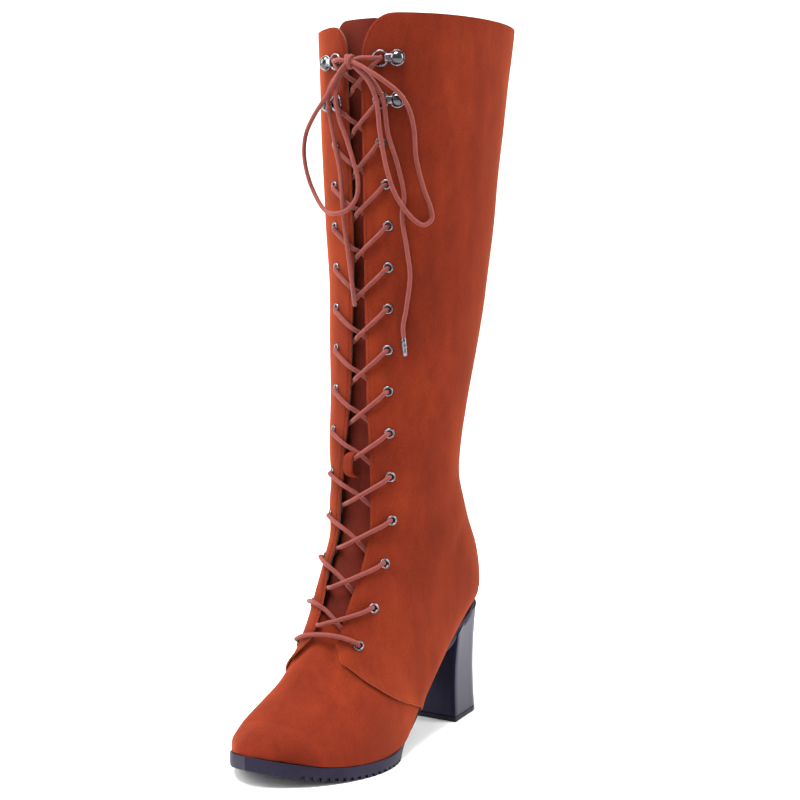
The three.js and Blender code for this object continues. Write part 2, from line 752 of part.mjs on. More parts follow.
function makeEyelet(i, side) {
  const profilePoints = [
    [eyeletBore, 0],
    [eyeletOuter, 0],
    [eyeletOuter * 0.88, eyeletHeight],
    [eyeletBore, eyeletHeight],
    [eyeletBore, 0],
  ].map(([r, z]) => new THREE.Vector2(r, z));
  const ring = new THREE.LatheGeometry(profilePoints, 8).rotateX(Math.PI / 2);
  const station = rowStation(i);
  return solidOf(seatOnSkin(ring, station, side * eyeletFromMiddle(station), clearance));
}

// A domed rivet and its clip, which holds a ring at the edge of the facing.
function makeHolder(i, side) {
  const wire = new THREE.TorusGeometry(ringRadius, ringWire, 5, 12).translate(0, 0, ringWire);
  const reach = domeInset - ringInset;
  const dome = new THREE.LatheGeometry(
    [[0, 0], [domeRadius, 0], [domeRadius, 0.8], [domeRadius * 0.82, 2.3], [domeRadius * 0.45, 3.2], [0, 3.5]].map(
      ([r, z]) => new THREE.Vector2(r, z),
    ),
    10,
  ).rotateX(Math.PI / 2).translate(side * reach, 0, 0.1);
  const strap = new THREE.BoxGeometry(reach - ringRadius + 1.6, 4.4, 2.2);
  strap.translate(side * (ringRadius - 1.6 + (reach - ringRadius + 1.6) / 2), 0, 1.1 + 0.1);
  const station = rowStation(eyeletCount + i);
  const across = side * (gapAt(station) + ringInset) + holderShift;
  const joined = solidOf(wire).add(solidOf(dome)).add(solidOf(strap));
  return solidOf(seatOnSkin(geometryOf(joined), station, across, ringSeat));
}

// A round lace through points, with flat ends.
function lace(points, steps, diameter = laceDiameter, sides = 5) {
  const curve = new THREE.CatmullRomCurve3(points, false, "centripetal");
  const shape = new THREE.Shape();
  for (let i = 0; i < sides; i += 1) {
    const angle = (2 * Math.PI * i) / sides;
    const [x, y] = [(diameter / 2) * Math.cos(angle), (diameter / 2) * Math.sin(angle)];
    if (i === 0) shape.moveTo(x, y);
    else shape.lineTo(x, y);
  }
  return new THREE.ExtrudeGeometry(shape, { steps, extrudePath: curve, curveSegments: 1 });
}

const overFacing = laceDiameter / 2 + laceGap;
const overEyelet = overFacing + eyeletHeight + clearance;
const underFacing = -(quarterWall + laceGap + laceDiameter / 2);

// How far up the front the arms of a crossing meet.
function crossingLevel(i) {
  const start = rowUp(i);
  const end = rowUp(i - 1) + laceDrop;
  const gap = gapAt(stationUp((start + end) / 2));
  const from = eyeletFromMiddle(stationUp(start));
  return start + ((end - start) * from) / (from + gap + laceTuck);
}

// One arm of a crossing: from its eyelet or ring, over its facing, down under the edge of the other.
function crossingArm(i, side) {
  const start = rowUp(i);
  const end = rowUp(i - 1) + laceDrop;
  const gapMiddle = gapAt(stationUp((start + end) / 2));
  const fromRing = i >= eyeletCount;
  const ringMiddle = gapAt(stationUp(start)) + ringInset + side * holderShift;
  const from = fromRing ? ringMiddle : eyeletFromMiddle(stationUp(start));
  const to = -gapMiddle - laceTuck;
  const place = (across, lift) => {
    const share = Math.min(1, (from - across) / (from - to));
    return onSkin(stationUp(start + (end - start) * share), side * across, lift).point;
  };
  const overWire = 2 * ringWire + ringSeat + overFacing;
  const first = fromRing
    ? [place(from, overFacing + 0.7), place(from - ringRadius / 2, overWire - 0.3), place(from - ringRadius, overWire)]
    : [place(from, overEyelet), place(from - 3.4, overEyelet + 0.15)];
  return [
    ...first,
    place(gapMiddle + 1.2, overFacing + (fromRing ? 1.4 : 0.45)),
    place(gapMiddle * 0.62, overFacing - 0.7),
    place(0, -laceSag),
    place(-gapMiddle + 1.2, underFacing + 0.1),
    place(to, underFacing),
  ];
}

function makeCrossing(i) {
  const arms = [1, -1].map((side) => solidOf(lace(crossingArm(i, side), 9)));
  return arms[0].add(arms[1]);
}

function makeBar() {
  const station = rowStation(0);
  const reach = eyeletFromMiddle(station);
  const places = [-1, -0.75, -0.4, 0, 0.4, 0.75, 1].map((share) => {
    const lift = Math.abs(share) > 0.7 ? overEyelet : overFacing + 0.3;
    return onSkin(station, share * reach, lift).point;
  });
  return solidOf(lace(places, 12));
}

function makeKeeper() {
  const station = stationUp(crossingLevel(keeperCrossing));
  const depth = tongueDepth - clearance;
  const rise = depth + keeperRise;
  const half = keeperLength / 2;
  const outer = [[-half, 0], [-half + 0.4, rise * 0.7], [-half + 2.4, rise], [half - 2.4, rise], [half - 0.4, rise * 0.7], [half, 0]];
  const inner = outer.map(([y, z], i) => {
    if (i === 0 || i === 5) return [y * (1 - keeperWall / half), 0];
    return [y * (1 - keeperWall / half), z - keeperWall];
  });
  const shape = new THREE.Shape([...outer, ...inner.reverse()].map(([y, z]) => new THREE.Vector2(y, z)));
  const geometry = new THREE.ExtrudeGeometry(shape, { depth: keeperWidth, bevelEnabled: false });
  geometry.applyMatrix4(new THREE.Matrix4().makeBasis(
    new THREE.Vector3(0, 1, 0),
    new THREE.Vector3(0, 0, 1),
    new THREE.Vector3(1, 0, 0),
  ));
  geometry.translate(-keeperWidth / 2, 0, 0);
  return solidOf(seatOnSkin(geometry, station, 0, -depth));
}

// Cords are given by height on the boot, so they follow its front.
function cordPoints(places) {
  return places.map(([height, across, lift]) => onSkin(stationAtHeight(height), across, lift).point);
}

// The knot's ball, grown by extra. The loose strands are cut clear of it.
function knotBall(extra) {
  const { point } = onSkin(stationAtHeight(knotPlace[0]), knotPlace[1], knotPlace[2]);
  const [wide, deep, high] = knotHalf.map((half) => half + extra);
  return solidOf(new THREE.SphereGeometry(1, 12, 8).scale(wide, deep, high).translate(point.x, point.y, point.z));
}

function makeKnot() {
  const centre = onSkin(stationAtHeight(knotPlace[0]), knotPlace[1], knotPlace[2]).point;
  const top = rowStation(eyeletCount + 1);
  let knot = knotBall(0);
  for (const side of [1, -1]) {
    const across = side * (gapAt(top) + ringInset) + holderShift;
    const places = [
      onSkin(top, across, knotArmLift).point,
      onSkin(top, across * 0.6, knotArmLift + 0.9).point,
      centre,
    ];
    knot = knot.add(solidOf(lace(places, 5)));
  }
  return knot;
}

// Where two strands press on each other, the one beneath is hollowed by the one above.
function makeStrand(places, steps, above) {
  const strand = solidOf(lace(cordPoints(places), steps)).subtract(knotBall(clearance));
  if (!above) return strand;
  return strand.subtract(solidOf(lace(cordPoints(above), 34, laceDiameter + 2 * clearance, 8)));
}

// A tip continues the last stretch of its strand.
function makeAglet(places) {
  const points = cordPoints(places);
  const end = points[points.length - 1];
  const along = end.clone().sub(points[points.length - 2]).normalize();
  const from = end.clone().addScaledVector(along, clearance);
  return solidOf(lace([from, from.clone().addScaledVector(along, agletLength)], 1, agletDiameter, 8));
}

function geometryOf(solid) {
  const mesh = solid.getMesh();
  const geometry = new THREE.BufferGeometry();
  const positions = new Float32Array(mesh.numVert * 3);
  for (let i = 0; i < mesh.numVert; i += 1) {
    for (let k = 0; k < 3; k += 1) positions[i * 3 + k] = mesh.vertProperties[i * mesh.numProp + k];
  }
  geometry.setAttribute("position", new THREE.BufferAttribute(positions, 3));
  geometry.setIndex(new THREE.BufferAttribute(new Uint32Array(mesh.triVerts), 1));
  geometry.computeVertexNormals();
  return geometry;
}

const suede = { color: 0x8b3826, roughness: 0.95, metalness: 0 };
const rubber = { color: 0x403539, roughness: 0.7, metalness: 0 };
const heelStack = { color: 0x3a3840, roughness: 0.45, metalness: 0 };
const metal = { color: 0x55555c, roughness: 0.35, metalness: 1 };
const laceCloth = { color: 0xa54b3e, roughness: 0.9, metalness: 0 };
const lining = { color: 0x7a4a38, roughness: 0.95, metalness: 0 };

const boot = new THREE.Group();

function add(name, made, look) {
  const geometry = made.isBufferGeometry ? made : geometryOf(made);
  const mesh = new THREE.Mesh(geometry, new THREE.MeshStandardMaterial(look));
  mesh.name = name;
  boot.add(mesh);
}

add("top_lift", makeLift(), rubber);
add("heel_block", makeHeel(), heelStack);
add("outsole", makeOutsole(), rubber);
add("insole", makeInsole(), lining);
add("upper", makeUpper(), suede);
add("tongue", makeTongue(), suede);
add("lace_keeper", makeKeeper(), suede);

for (const [word, side] of [["outer", 1], ["inner", -1]]) {
  for (let i = 0; i < eyeletCount; i += 1) {
    add(`eyelet_${word}_${String(i + 1).padStart(2, "0")}`, makeEyelet(i, side), metal);
  }
  for (let i = 0; i < 2; i += 1) add(`ring_holder_${word}_${i + 1}`, makeHolder(i, side), metal);
}

add("lace_bar", makeBar(), laceCloth);
for (let i = 1; i < eyeletCount + 2; i += 1) {
  add(`lace_crossing_${String(i).padStart(2, "0")}`, makeCrossing(i), laceCloth);
}
add("bow_knot", makeKnot(), laceCloth);
add("bow_loop_inner", makeStrand(innerLoop, 30), laceCloth);
add("bow_loop_outer", makeStrand(outerLoop, 34), laceCloth);
add("bow_end_inner", makeStrand(innerEnd, 18, innerLoop), laceCloth);
add("bow_end_outer", makeStrand(outerEnd, 22, outerLoop), laceCloth);
add("aglet_inner", makeAglet(innerEnd), metal);
add("aglet_outer", makeAglet(outerEnd), metal);

export default boot;
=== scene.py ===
import json
import math

import bpy
import numpy as np
from mathutils import Matrix, Vector
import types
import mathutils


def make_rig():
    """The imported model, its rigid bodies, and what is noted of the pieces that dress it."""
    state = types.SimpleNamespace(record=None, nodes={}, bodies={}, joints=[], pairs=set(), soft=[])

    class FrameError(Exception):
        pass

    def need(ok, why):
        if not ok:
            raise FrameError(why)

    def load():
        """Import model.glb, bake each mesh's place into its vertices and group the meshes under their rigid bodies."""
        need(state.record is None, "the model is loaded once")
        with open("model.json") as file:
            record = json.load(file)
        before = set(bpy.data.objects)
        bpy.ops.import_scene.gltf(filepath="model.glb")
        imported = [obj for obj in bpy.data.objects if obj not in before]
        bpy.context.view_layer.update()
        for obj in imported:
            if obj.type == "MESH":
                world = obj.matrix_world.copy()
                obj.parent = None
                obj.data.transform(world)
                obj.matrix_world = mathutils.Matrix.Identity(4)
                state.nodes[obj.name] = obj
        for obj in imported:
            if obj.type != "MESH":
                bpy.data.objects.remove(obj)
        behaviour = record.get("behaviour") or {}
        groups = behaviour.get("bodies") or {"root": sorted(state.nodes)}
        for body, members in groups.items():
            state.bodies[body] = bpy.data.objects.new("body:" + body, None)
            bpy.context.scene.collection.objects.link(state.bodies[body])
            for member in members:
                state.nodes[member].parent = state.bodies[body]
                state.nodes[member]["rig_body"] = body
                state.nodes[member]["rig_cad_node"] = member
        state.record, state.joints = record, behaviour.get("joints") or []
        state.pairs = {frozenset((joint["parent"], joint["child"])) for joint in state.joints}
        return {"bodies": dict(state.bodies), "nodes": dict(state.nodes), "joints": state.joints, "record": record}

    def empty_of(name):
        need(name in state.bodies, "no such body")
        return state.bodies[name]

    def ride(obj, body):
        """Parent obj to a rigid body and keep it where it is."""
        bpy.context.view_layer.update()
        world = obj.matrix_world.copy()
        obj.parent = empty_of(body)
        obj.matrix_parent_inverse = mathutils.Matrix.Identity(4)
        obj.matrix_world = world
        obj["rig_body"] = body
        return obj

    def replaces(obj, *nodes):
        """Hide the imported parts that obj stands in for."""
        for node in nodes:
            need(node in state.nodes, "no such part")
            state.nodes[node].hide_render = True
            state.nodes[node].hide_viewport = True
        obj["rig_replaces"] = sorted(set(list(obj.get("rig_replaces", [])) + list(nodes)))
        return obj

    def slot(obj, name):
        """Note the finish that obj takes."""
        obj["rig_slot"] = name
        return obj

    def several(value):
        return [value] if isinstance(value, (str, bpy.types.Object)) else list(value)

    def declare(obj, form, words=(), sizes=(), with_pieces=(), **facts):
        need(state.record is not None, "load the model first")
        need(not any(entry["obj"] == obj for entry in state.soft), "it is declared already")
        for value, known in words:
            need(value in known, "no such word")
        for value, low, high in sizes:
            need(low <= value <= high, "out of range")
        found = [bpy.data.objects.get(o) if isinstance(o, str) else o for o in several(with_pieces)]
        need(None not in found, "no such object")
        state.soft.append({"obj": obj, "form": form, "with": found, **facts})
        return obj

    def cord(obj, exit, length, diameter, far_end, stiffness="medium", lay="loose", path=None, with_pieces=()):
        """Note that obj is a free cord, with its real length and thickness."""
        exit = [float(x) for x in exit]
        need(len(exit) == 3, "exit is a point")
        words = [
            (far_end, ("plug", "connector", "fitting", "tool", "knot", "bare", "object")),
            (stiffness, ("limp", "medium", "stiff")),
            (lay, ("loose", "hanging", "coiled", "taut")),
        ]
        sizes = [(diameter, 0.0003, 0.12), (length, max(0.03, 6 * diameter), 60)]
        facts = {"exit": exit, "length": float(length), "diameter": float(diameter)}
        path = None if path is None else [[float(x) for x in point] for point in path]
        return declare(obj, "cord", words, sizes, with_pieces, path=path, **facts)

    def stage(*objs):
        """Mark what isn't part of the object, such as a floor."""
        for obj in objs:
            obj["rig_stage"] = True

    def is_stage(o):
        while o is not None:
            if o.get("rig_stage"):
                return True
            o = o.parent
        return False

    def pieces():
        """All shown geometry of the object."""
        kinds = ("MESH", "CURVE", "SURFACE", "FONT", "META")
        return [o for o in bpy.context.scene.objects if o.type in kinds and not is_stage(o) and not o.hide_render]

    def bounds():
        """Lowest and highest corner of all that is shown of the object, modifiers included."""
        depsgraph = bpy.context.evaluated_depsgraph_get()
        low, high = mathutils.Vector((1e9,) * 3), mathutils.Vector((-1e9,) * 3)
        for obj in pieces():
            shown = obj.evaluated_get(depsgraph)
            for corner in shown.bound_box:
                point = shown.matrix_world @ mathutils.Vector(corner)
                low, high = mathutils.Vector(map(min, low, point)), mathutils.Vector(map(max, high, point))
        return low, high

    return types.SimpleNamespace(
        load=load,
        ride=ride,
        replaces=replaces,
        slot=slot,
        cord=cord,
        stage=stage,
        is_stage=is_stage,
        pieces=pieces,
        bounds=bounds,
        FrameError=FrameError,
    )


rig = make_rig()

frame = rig.load()
cadBox = [list(corner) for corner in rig.bounds()]
mm = 0.001
print("frame loaded")

# The last and the shaft, in millimetres, with the part's own sizes
last = {
    "toeReach": 191, "heelReach": 21, "ballWidth": 85.5, "seatRise": 62, "toeSpring": 13,
    "ankleAboveSeat": 76, "instepRise": 110, "shaftHeight": 423, "calfWidth": 110, "calfDepth": 138,
    "soleThickness": 7.8, "seatThickness": 5.0, "featherDepth": 6.0, "tipInset": 1.0, "clearance": 0.3,
}

# y, outer, inner: the sole's outline as shares of the reach and of the ball's width
outlineRows = [
    [-1.0, -0.07, -0.07], [-0.979, 0.055, -0.19], [-0.942, 0.175, -0.285], [-0.906, 0.268, -0.352],
    [-0.864, 0.345, -0.403], [-0.812, 0.418, -0.447], [-0.759, 0.468, -0.472], [-0.702, 0.503, -0.484],
    [-0.615, 0.506, -0.45], [-0.55, 0.468, -0.404], [-0.482, 0.412, -0.351], [-0.393, 0.362, -0.32],
    [-0.293, 0.33, -0.29], [-0.115, 0.318, -0.304], [0.0, 0.308, -0.308], [0.4, 0.269, -0.269],
    [0.76, 0.175, -0.175], [0.95, 0.082, -0.082], [1.0, 0.0, 0.0],
]
# y, spring, rise: the top of the sole from the toe to the heel
profileRows = [
    [-1.05, 1.04, 0.0], [-0.99, 0.71, 0.0], [-0.932, 0.44, 0.0], [-0.88, 0.25, 0.0], [-0.812, 0.08, 0.0],
    [-0.728, 0.0, 0.0], [-0.55, 0.0, 0.0], [-0.471, 0.0, 0.026], [-0.408, 0.0, 0.085],
    [-0.361, 0.0, 0.172], [-0.314, 0.0, 0.268], [-0.277, 0.0, 0.348], [-0.22, 0.0, 0.508],
    [-0.165, 0.0, 0.647], [-0.105, 0.0, 0.795], [-0.042, 0.0, 0.903], [0.14, 0.0, 0.984],
    [0.67, 0.0, 1.032], [1.9, 0.0, 1.065],
]
# frontY, frontZ, soleY, outer, inner, spineLow, spineHigh, widest, roundOuter, roundInner, roundLow
footRows = [
    [-0.88, 0.218, -0.878, 0.339, -0.397, -0.047, -0.082, 0.3, 2.2, 1.9, 5.0],
    [-0.827, 0.275, -0.813, 0.414, -0.442, -0.023, -0.082, 0.28, 2.15, 1.8, 5.0],
    [-0.759, 0.343, -0.72, 0.49, -0.468, 0.0, -0.082, 0.25, 2.0, 1.7, 5.0],
    [-0.702, 0.432, -0.62, 0.503, -0.446, 0.012, -0.07, 0.22, 1.95, 1.7, 5.0],
    [-0.657, 0.566, -0.492, 0.463, -0.413, 0.012, -0.058, 0.24, 1.9, 1.75, 4.0],
    [-0.613, 0.711, -0.335, 0.401, -0.374, 0.012, -0.047, 0.3, 2.1, 1.95, 3.4],
    [-0.568, 0.857, -0.17, 0.405, -0.386, 0.0, -0.035, 0.34, 2.15, 2.15, 3.0],
    [-0.528, 1.0, -0.016, 0.419, -0.419, 0.0, -0.023, 0.36, 2.15, 2.15, 2.6],
]
# frontY, frontZ, backY, backZ, outer, inner, widest, roundHigh, roundLow
shaftRows = [
    [0.031, 0.79, -0.008, 0.04, 0.331, -0.342, 0.42, 2.15, 2.4],
    [0.044, 1.0, 0.0, 0.36, 0.334, -0.344, 0.5, 2.15, 2.2],
    [0.054, 1.051, -0.093, 0.7, 0.325, -0.337, 0.5, 2.12, 2.1],
    [0.063, 1.109, -0.182, 1.03, 0.339, -0.335, 0.5, 2.08, 2.0],
    [0.076, 1.199, -0.157, 1.174, 0.368, -0.349, 0.5, 2.0, 2.0],
    [0.084, 1.333, -0.072, 1.322, 0.4, -0.377, 0.5, 2.0, 2.0],
    [0.087, 1.478, 0.001, 1.475, 0.429, -0.405, 0.5, 2.0, 2.0],
    [0.077, 1.659, 0.049, 1.659, 0.461, -0.443, 0.5, 2.0, 2.0],
    [0.059, 1.841, 0.12, 1.841, 0.487, -0.469, 0.5, 2.0, 2.0],
    [0.05, 2.0, 0.17, 2.0, 0.512, -0.482, 0.5, 2.0, 2.0],
]
# station, half of the gap between the facings, eyelets from the facing's edge, both in millimetres
gapRows = [
    [3.9, 3.0, 17.3], [4.02, 8.6, 17.3], [4.3, 9.2, 17.3], [5.1, 8.0, 19.2], [6.0, 9.0, 19.2],
    [7.2, 9.0, 16.4], [8.3, 11.0, 13.6], [9.8, 10.6, 12.1], [11.1, 9.2, 12.1], [12.0, 7.0, 12.5],
    [13.0, 5.6, 13], [14.0, 4.3, 14.5], [15.0, 4.4, 14], [15.5, 4.6, 11], [17.0, 5.0, 11],
]
# y and z of the quarters' front lower edge, as shares of the toe's reach and the instep's rise
seamRows = [
    [-0.75, 0.66], [-0.69, 0.53], [-0.669, 0.463], [-0.644, 0.381], [-0.6, 0.308], [-0.53, 0.232],
    [-0.42, 0.155], [-0.34, 0.09], [-0.28, 0.03],
]


def curveThrough(xs, ys):
    xs, ys = np.array(xs, float), np.array(ys, float)
    widths = np.diff(xs)
    slopes = np.diff(ys) / widths
    tangents = np.concatenate([slopes[:1], slopes[:1], slopes[1:]])
    tangents[1:-1] = (slopes[:-1] * widths[1:] + slopes[1:] * widths[:-1]) / (widths[:-1] + widths[1:])
    tangents[-1] = slopes[-1]

    def at(x):
        i = np.clip(np.searchsorted(xs, x) - 1, 0, len(xs) - 2)
        t = np.clip((x - xs[i]) / widths[i], 0, 1)
        rise = 3 * t**2 - 2 * t**3
        start = (t**3 - 2 * t**2 + t) * widths[i] * tangents[i]
        return (1 - rise) * ys[i] + rise * ys[i + 1] + start + (t**3 - t**2) * widths[i] * tangents[i + 1]

    return at


def lengthwise(share):
    return share * (last["toeReach"] if share < 0 else last["heelReach"])


# The wanted column of a table against its first one
def column(rows, k, scale=1.0, place=float):
    return curveThrough([place(row[0]) for row in rows], [row[k] * scale for row in rows])


outlineAt = {side: column(outlineRows, k, last["ballWidth"], lengthwise) for side, k in ((1, 1), (-1, 2))}
soleTop = curveThrough(
    [lengthwise(row[0]) for row in profileRows],
    [last["soleThickness"] + row[1] * last["toeSpring"] + row[2] * last["seatRise"] for row in profileRows],
)
seamHeight = curveThrough(
    [row[0] * last["toeReach"] for row in seamRows],
    [last["soleThickness"] + row[1] * last["instepRise"] for row in seamRows],
)
gapHalf, gapInset = column(gapRows, 1), column(gapRows, 2)
seatZ = last["soleThickness"] + last["seatRise"]
ankleZ = seatZ + last["ankleAboveSeat"]


def shaftLevel(share):
    if share <= 1:
        return seatZ + share * last["ankleAboveSeat"]
    return ankleZ + (share - 1) * (last["shaftHeight"] - ankleZ)


def sectionTable():
    rows = []
    wide, deep = last["ballWidth"], last["calfDepth"]
    for frontY, frontZ, soleY, outer, inner, low, high, *rest in footRows:
        baseY = lengthwise(soleY)
        rows.append([lengthwise(frontY), last["soleThickness"] + frontZ * last["instepRise"], baseY,
                     float(soleTop(baseY)) - last["featherDepth"],
                     outer * wide, inner * wide, low * wide, high * wide, *rest])
    wide = last["calfWidth"]
    shaftFront, shaftBack = lengthwise(footRows[-1][0]), last["heelReach"] * 0.97
    for frontY, frontZ, backY, backZ, outer, inner, widest, roundHigh, roundLow in shaftRows:
        rows.append([shaftFront + frontY * deep, shaftLevel(frontZ), shaftBack + backY * deep,
                     shaftLevel(backZ), outer * wide, inner * wide, 0, 0, widest, roundHigh, roundHigh,
                     roundLow])
    return np.array(rows)


sections = sectionTable()
topStation = len(sections) - 1
sectionCurves = [curveThrough(range(len(sections)), values) for values in sections.T]
sectionCache = {}


def runLengths(points):  # how far along the row each point lies
    return np.concatenate([[0], np.cumsum(np.linalg.norm(np.diff(points, axis=0), axis=1))])


# How the toe closes ahead of the first section: its reach, its roundness and its lowest height as shares,
# where its sides begin to follow the sole, and how far inside the sole's edge they run, in millimetres
toeCap = {"reach": 0.985, "roundness": 1.25, "lowest": 0.14, "followFrom": 0.35, "inside": 0.6,
          "widestRise": 0.12}


# frontY, frontZ, baseY, baseZ, outer, inner, spineLow, spineHigh, widest and three roundings
def sectionAt(station):
    key = round(float(station), 5)
    if key in sectionCache:
        return sectionCache[key]
    if key >= 0:
        made = np.array([float(curve(min(key, topStation))) for curve in sectionCurves])
    else:  # the toe closes below the first section
        first = sections[0]
        made = first.copy()
        tip = -last["toeReach"] + last["tipInset"]
        ahead = toeCap["reach"] * math.cos((key + 1) * math.pi / 2)
        y = first[0] + (tip - first[0]) * ahead
        height = max(toeCap["lowest"], (1 - ahead ** toeCap["roundness"]) ** 0.5)
        base = float(soleTop(y)) - last["featherDepth"]
        firstHeight = first[1] - float(soleTop(first[0])) + last["featherDepth"]
        blend = min(1, ahead / toeCap["followFrom"])
        sides = []
        for side, wide in ((1, first[4]), (-1, first[5])):
            onSole = float(outlineAt[side](y))
            asFirst = wide + onSole - float(outlineAt[side](first[0]))
            sides.append((onSole - side * toeCap["inside"]) * blend + asFirst * (1 - blend))
        middle = sum(sides) / 2
        made[:6] = y, base + firstHeight * height, y, base, *sides
        made[6] = first[6] * (1 - blend) + middle * blend
        made[7] = first[7] * (1 - blend) + (middle - 1) * blend
        made[8] = first[8] + toeCap["widestRise"] * ahead
    sectionCache[key] = made
    return made


def sectionPoints(row, turns):
    sine, cosine = np.sin(2 * np.pi * turns), -np.cos(2 * np.pi * turns)
    power = 2 / np.where(cosine < 0, row[11], np.where(sine >= 0, row[9], row[10]))
    reach, widest = np.abs(cosine) ** power, row[8]
    up = np.where(cosine < 0, widest * (1 - reach), widest + (1 - widest) * reach)
    spineWide = row[6] + (row[7] - row[6]) * widest
    half = np.where(sine >= 0, row[4] - spineWide, spineWide - row[5])
    x = row[6] + (row[7] - row[6]) * up + half * np.sign(sine) * np.abs(sine) ** power
    return np.stack([x, row[2] + (row[0] - row[2]) * up, row[3] + (row[1] - row[3]) * up], axis=-1)


walkCache = {}


# Distances round a section from the middle of its front, and how far it is to the sole or the back
def walkAt(station, side):
    key = (round(float(station), 5), side)
    if key not in walkCache:
        turns = 0.5 - side * np.linspace(0, 0.5, 260)
        points = sectionPoints(sectionAt(station), turns)
        lengths = runLengths(points)
        above = points[:, 2] - soleTop(points[:, 1]) - last["clearance"]
        low = np.nonzero(above < 0)[0]
        reach = lengths[-1]
        if len(low) and low[0] == 0:  # the toe's tip, just under the edge of the sole
            reach = 0.01
        elif len(low):
            k = low[0]
            reach = lengths[k - 1] + (lengths[k] - lengths[k - 1]) * above[k - 1] / (above[k - 1] - above[k])
        walkCache[key] = (turns, lengths, reach)
    return walkCache[key]


def skinNormal(station, turn):
    low, high = sectionAt(max(-1, station - 0.05)), sectionAt(min(topStation, station + 0.05))
    along = sectionPoints(high, turn) - sectionPoints(low, turn)
    here = sectionAt(station)
    around = sectionPoints(here, turn + 0.004) - sectionPoints(here, turn - 0.004)
    normal = np.cross(along, around)
    return normal / np.linalg.norm(normal)


# A place on the skin: across round the boot from its front, plus to the outer side, and lift outward
def onSkin(station, across, lift=0.0):
    station = min(max(float(station), -1.0), topStation)
    turns, lengths, reach = walkAt(station, 1 if across >= 0 else -1)
    order = np.interp(abs(across), lengths, turns)
    return sectionPoints(sectionAt(station), order) + skinNormal(station, order) * lift


throatStation = 3.95
frontStations = np.linspace(throatStation, topStation, 500)
frontPoints = np.array([sectionAt(s)[:2] for s in frontStations])
frontLengths = runLengths(frontPoints)
frontLength = frontLengths[-1]


def stationUp(length):
    return float(np.interp(length, frontLengths, frontStations))


def lengthUp(station):
    return float(np.interp(station, frontStations, frontLengths))


def stationAtHeight(height):
    return float(np.interp(height, frontPoints[:, 1], frontStations))


facing = {
    "firstEyelet": 7.8, "firstPitch": 20.9, "eyelets": 13, "holderPitch": 23.4, "topRowDrop": 25.5,
    "ringInset": 10.0, "domeInset": 19.5, "holderShift": 2.2, "footStation": 4.02, "footSpread": 22,
}
# corner, flare, drop: the rounded top corner of each facing, and how far its front dips below the collar
facingTops = {1: (27, 20, 0.0), -1: (16, 12, 5.5)}
facing["pitch"] = (frontLength - facing["topRowDrop"] - 2 * facing["holderPitch"] - facing["firstEyelet"]
                   - facing["firstPitch"]) / (facing["eyelets"] - 2)


# station, and how much further from the middle the outer and the inner edge run there, in millimetres
edgeRows = [
    [3.5, 1.0, -4.0], [3.9, 3.5, -5.5], [4.4, 4.5, -6.0], [5.0, 5.2, -4.5], [5.6, 5.1, -3.0],
    [6.4, 4.9, 0.4], [7.1, 4.4, 0.7], [8.2, 0.6, 0.6], [9.2, 0.0, 0.0], [17.0, 0.0, 0.0],
]
edgeShift = {1: column(edgeRows, 1), -1: column(edgeRows, 2)}


def collarDip(side, share):  # the inner side's collar dips towards its front
    return facingTops[side][2] * (1 - np.clip((share - 0.12) / 0.5, 0, 1)) ** 1.5


def facingEdge(station, side):
    corner, flare, drop = facingTops[side]
    foot = facing["footSpread"] * max(0, facing["footStation"] - station)
    left = min(corner, max(0, lengthUp(station) - (frontLength - drop - corner)))
    top = flare * (1 - math.sqrt(max(0, 1 - (left / corner) ** 2)))
    shift = edgeShift[side](max(edgeRows[0][0], station))
    return float(gapHalf(max(station, facing["footStation"])) + shift) + foot + top


# Across the boot at a share of the way from the facing's edge to the sole or the back
def acrossAt(side, station, share, gap=0.0):
    edge = facingEdge(station, side) + gap
    return side * (edge + (walkAt(station, side)[2] - edge) * share)


def rowUp(i):
    eyelet = min(i, facing["eyelets"] - 1)
    second = min(1, eyelet)
    return (facing["firstEyelet"] + second * facing["firstPitch"] + (eyelet - second) * facing["pitch"]
            + (i - eyelet) * facing["holderPitch"])


def eyeletFromMiddle(station):
    return float(gapHalf(station) + gapInset(station))


print("last measured")

# Soft folds, listed: start, end, depth in mm (minus is a trough) and half width in mm
folds = [
    [(36, -20, 139), (39, -52, 108), 0.9, 6.5],
    [(35, -24, 128), (37, -50, 98), -1.1, 7.5],
    [(30, 2, 150), (38, -30, 158), -0.8, 8.0],
    [(-36, -20, 139), (-38, -50, 110), 0.8, 6.5],
    [(-35, -24, 127), (-36, -50, 98), -1.0, 7.5],
    [(-30, 2, 150), (-37, -32, 158), -0.8, 8.0],
    [(24, -92, 150), (38, -58, 158), -0.5, 9.0],
    [(-24, -92, 150), (-37, -60, 160), -0.5, 9.0],
    [(38, -118, 24), (22, -138, 44), -0.35, 7.0],
    [(34, -134, 20), (14, -150, 38), -0.35, 8.0],
    [(-38, -120, 24), (-26, -136, 42), -0.35, 7.0],
    [(38, -20, 206), (42, -60, 214), -0.45, 12.0],
    [(48, -14, 330), (52, -50, 318), -0.4, 14.0],
]


def foldLift(point):
    x, y, z = point
    lift = 0.0
    for start, end, depth, width in folds:
        a, b = np.array(start, float), np.array(end, float)
        t = float(np.clip(np.dot(point - a, b - a) / np.dot(b - a, b - a), 0, 1))
        gap = np.linalg.norm(point - (a + (b - a) * t))
        lift += depth * math.exp(-((gap / width) ** 2)) * (0.35 + 0.65 * math.sin(math.pi * t))
    # and two sets of faint waves, as soft suede never lies flat
    lift += 0.22 * math.sin(z / 17 + x / 23) * math.sin(y / 19 + 1.3)
    return lift + 0.15 * math.sin(z / 9.5 + y / 13 + 0.7)


def lifted(station, across, lift=0.0):  # a place that follows the folds
    return onSkin(station, across, lift + foldLift(onSkin(station, across)))


def deselectAll():
    if bpy.context.object and bpy.context.object.mode != "OBJECT":
        bpy.ops.object.mode_set(mode="OBJECT")
    bpy.ops.object.select_all(action="DESELECT")


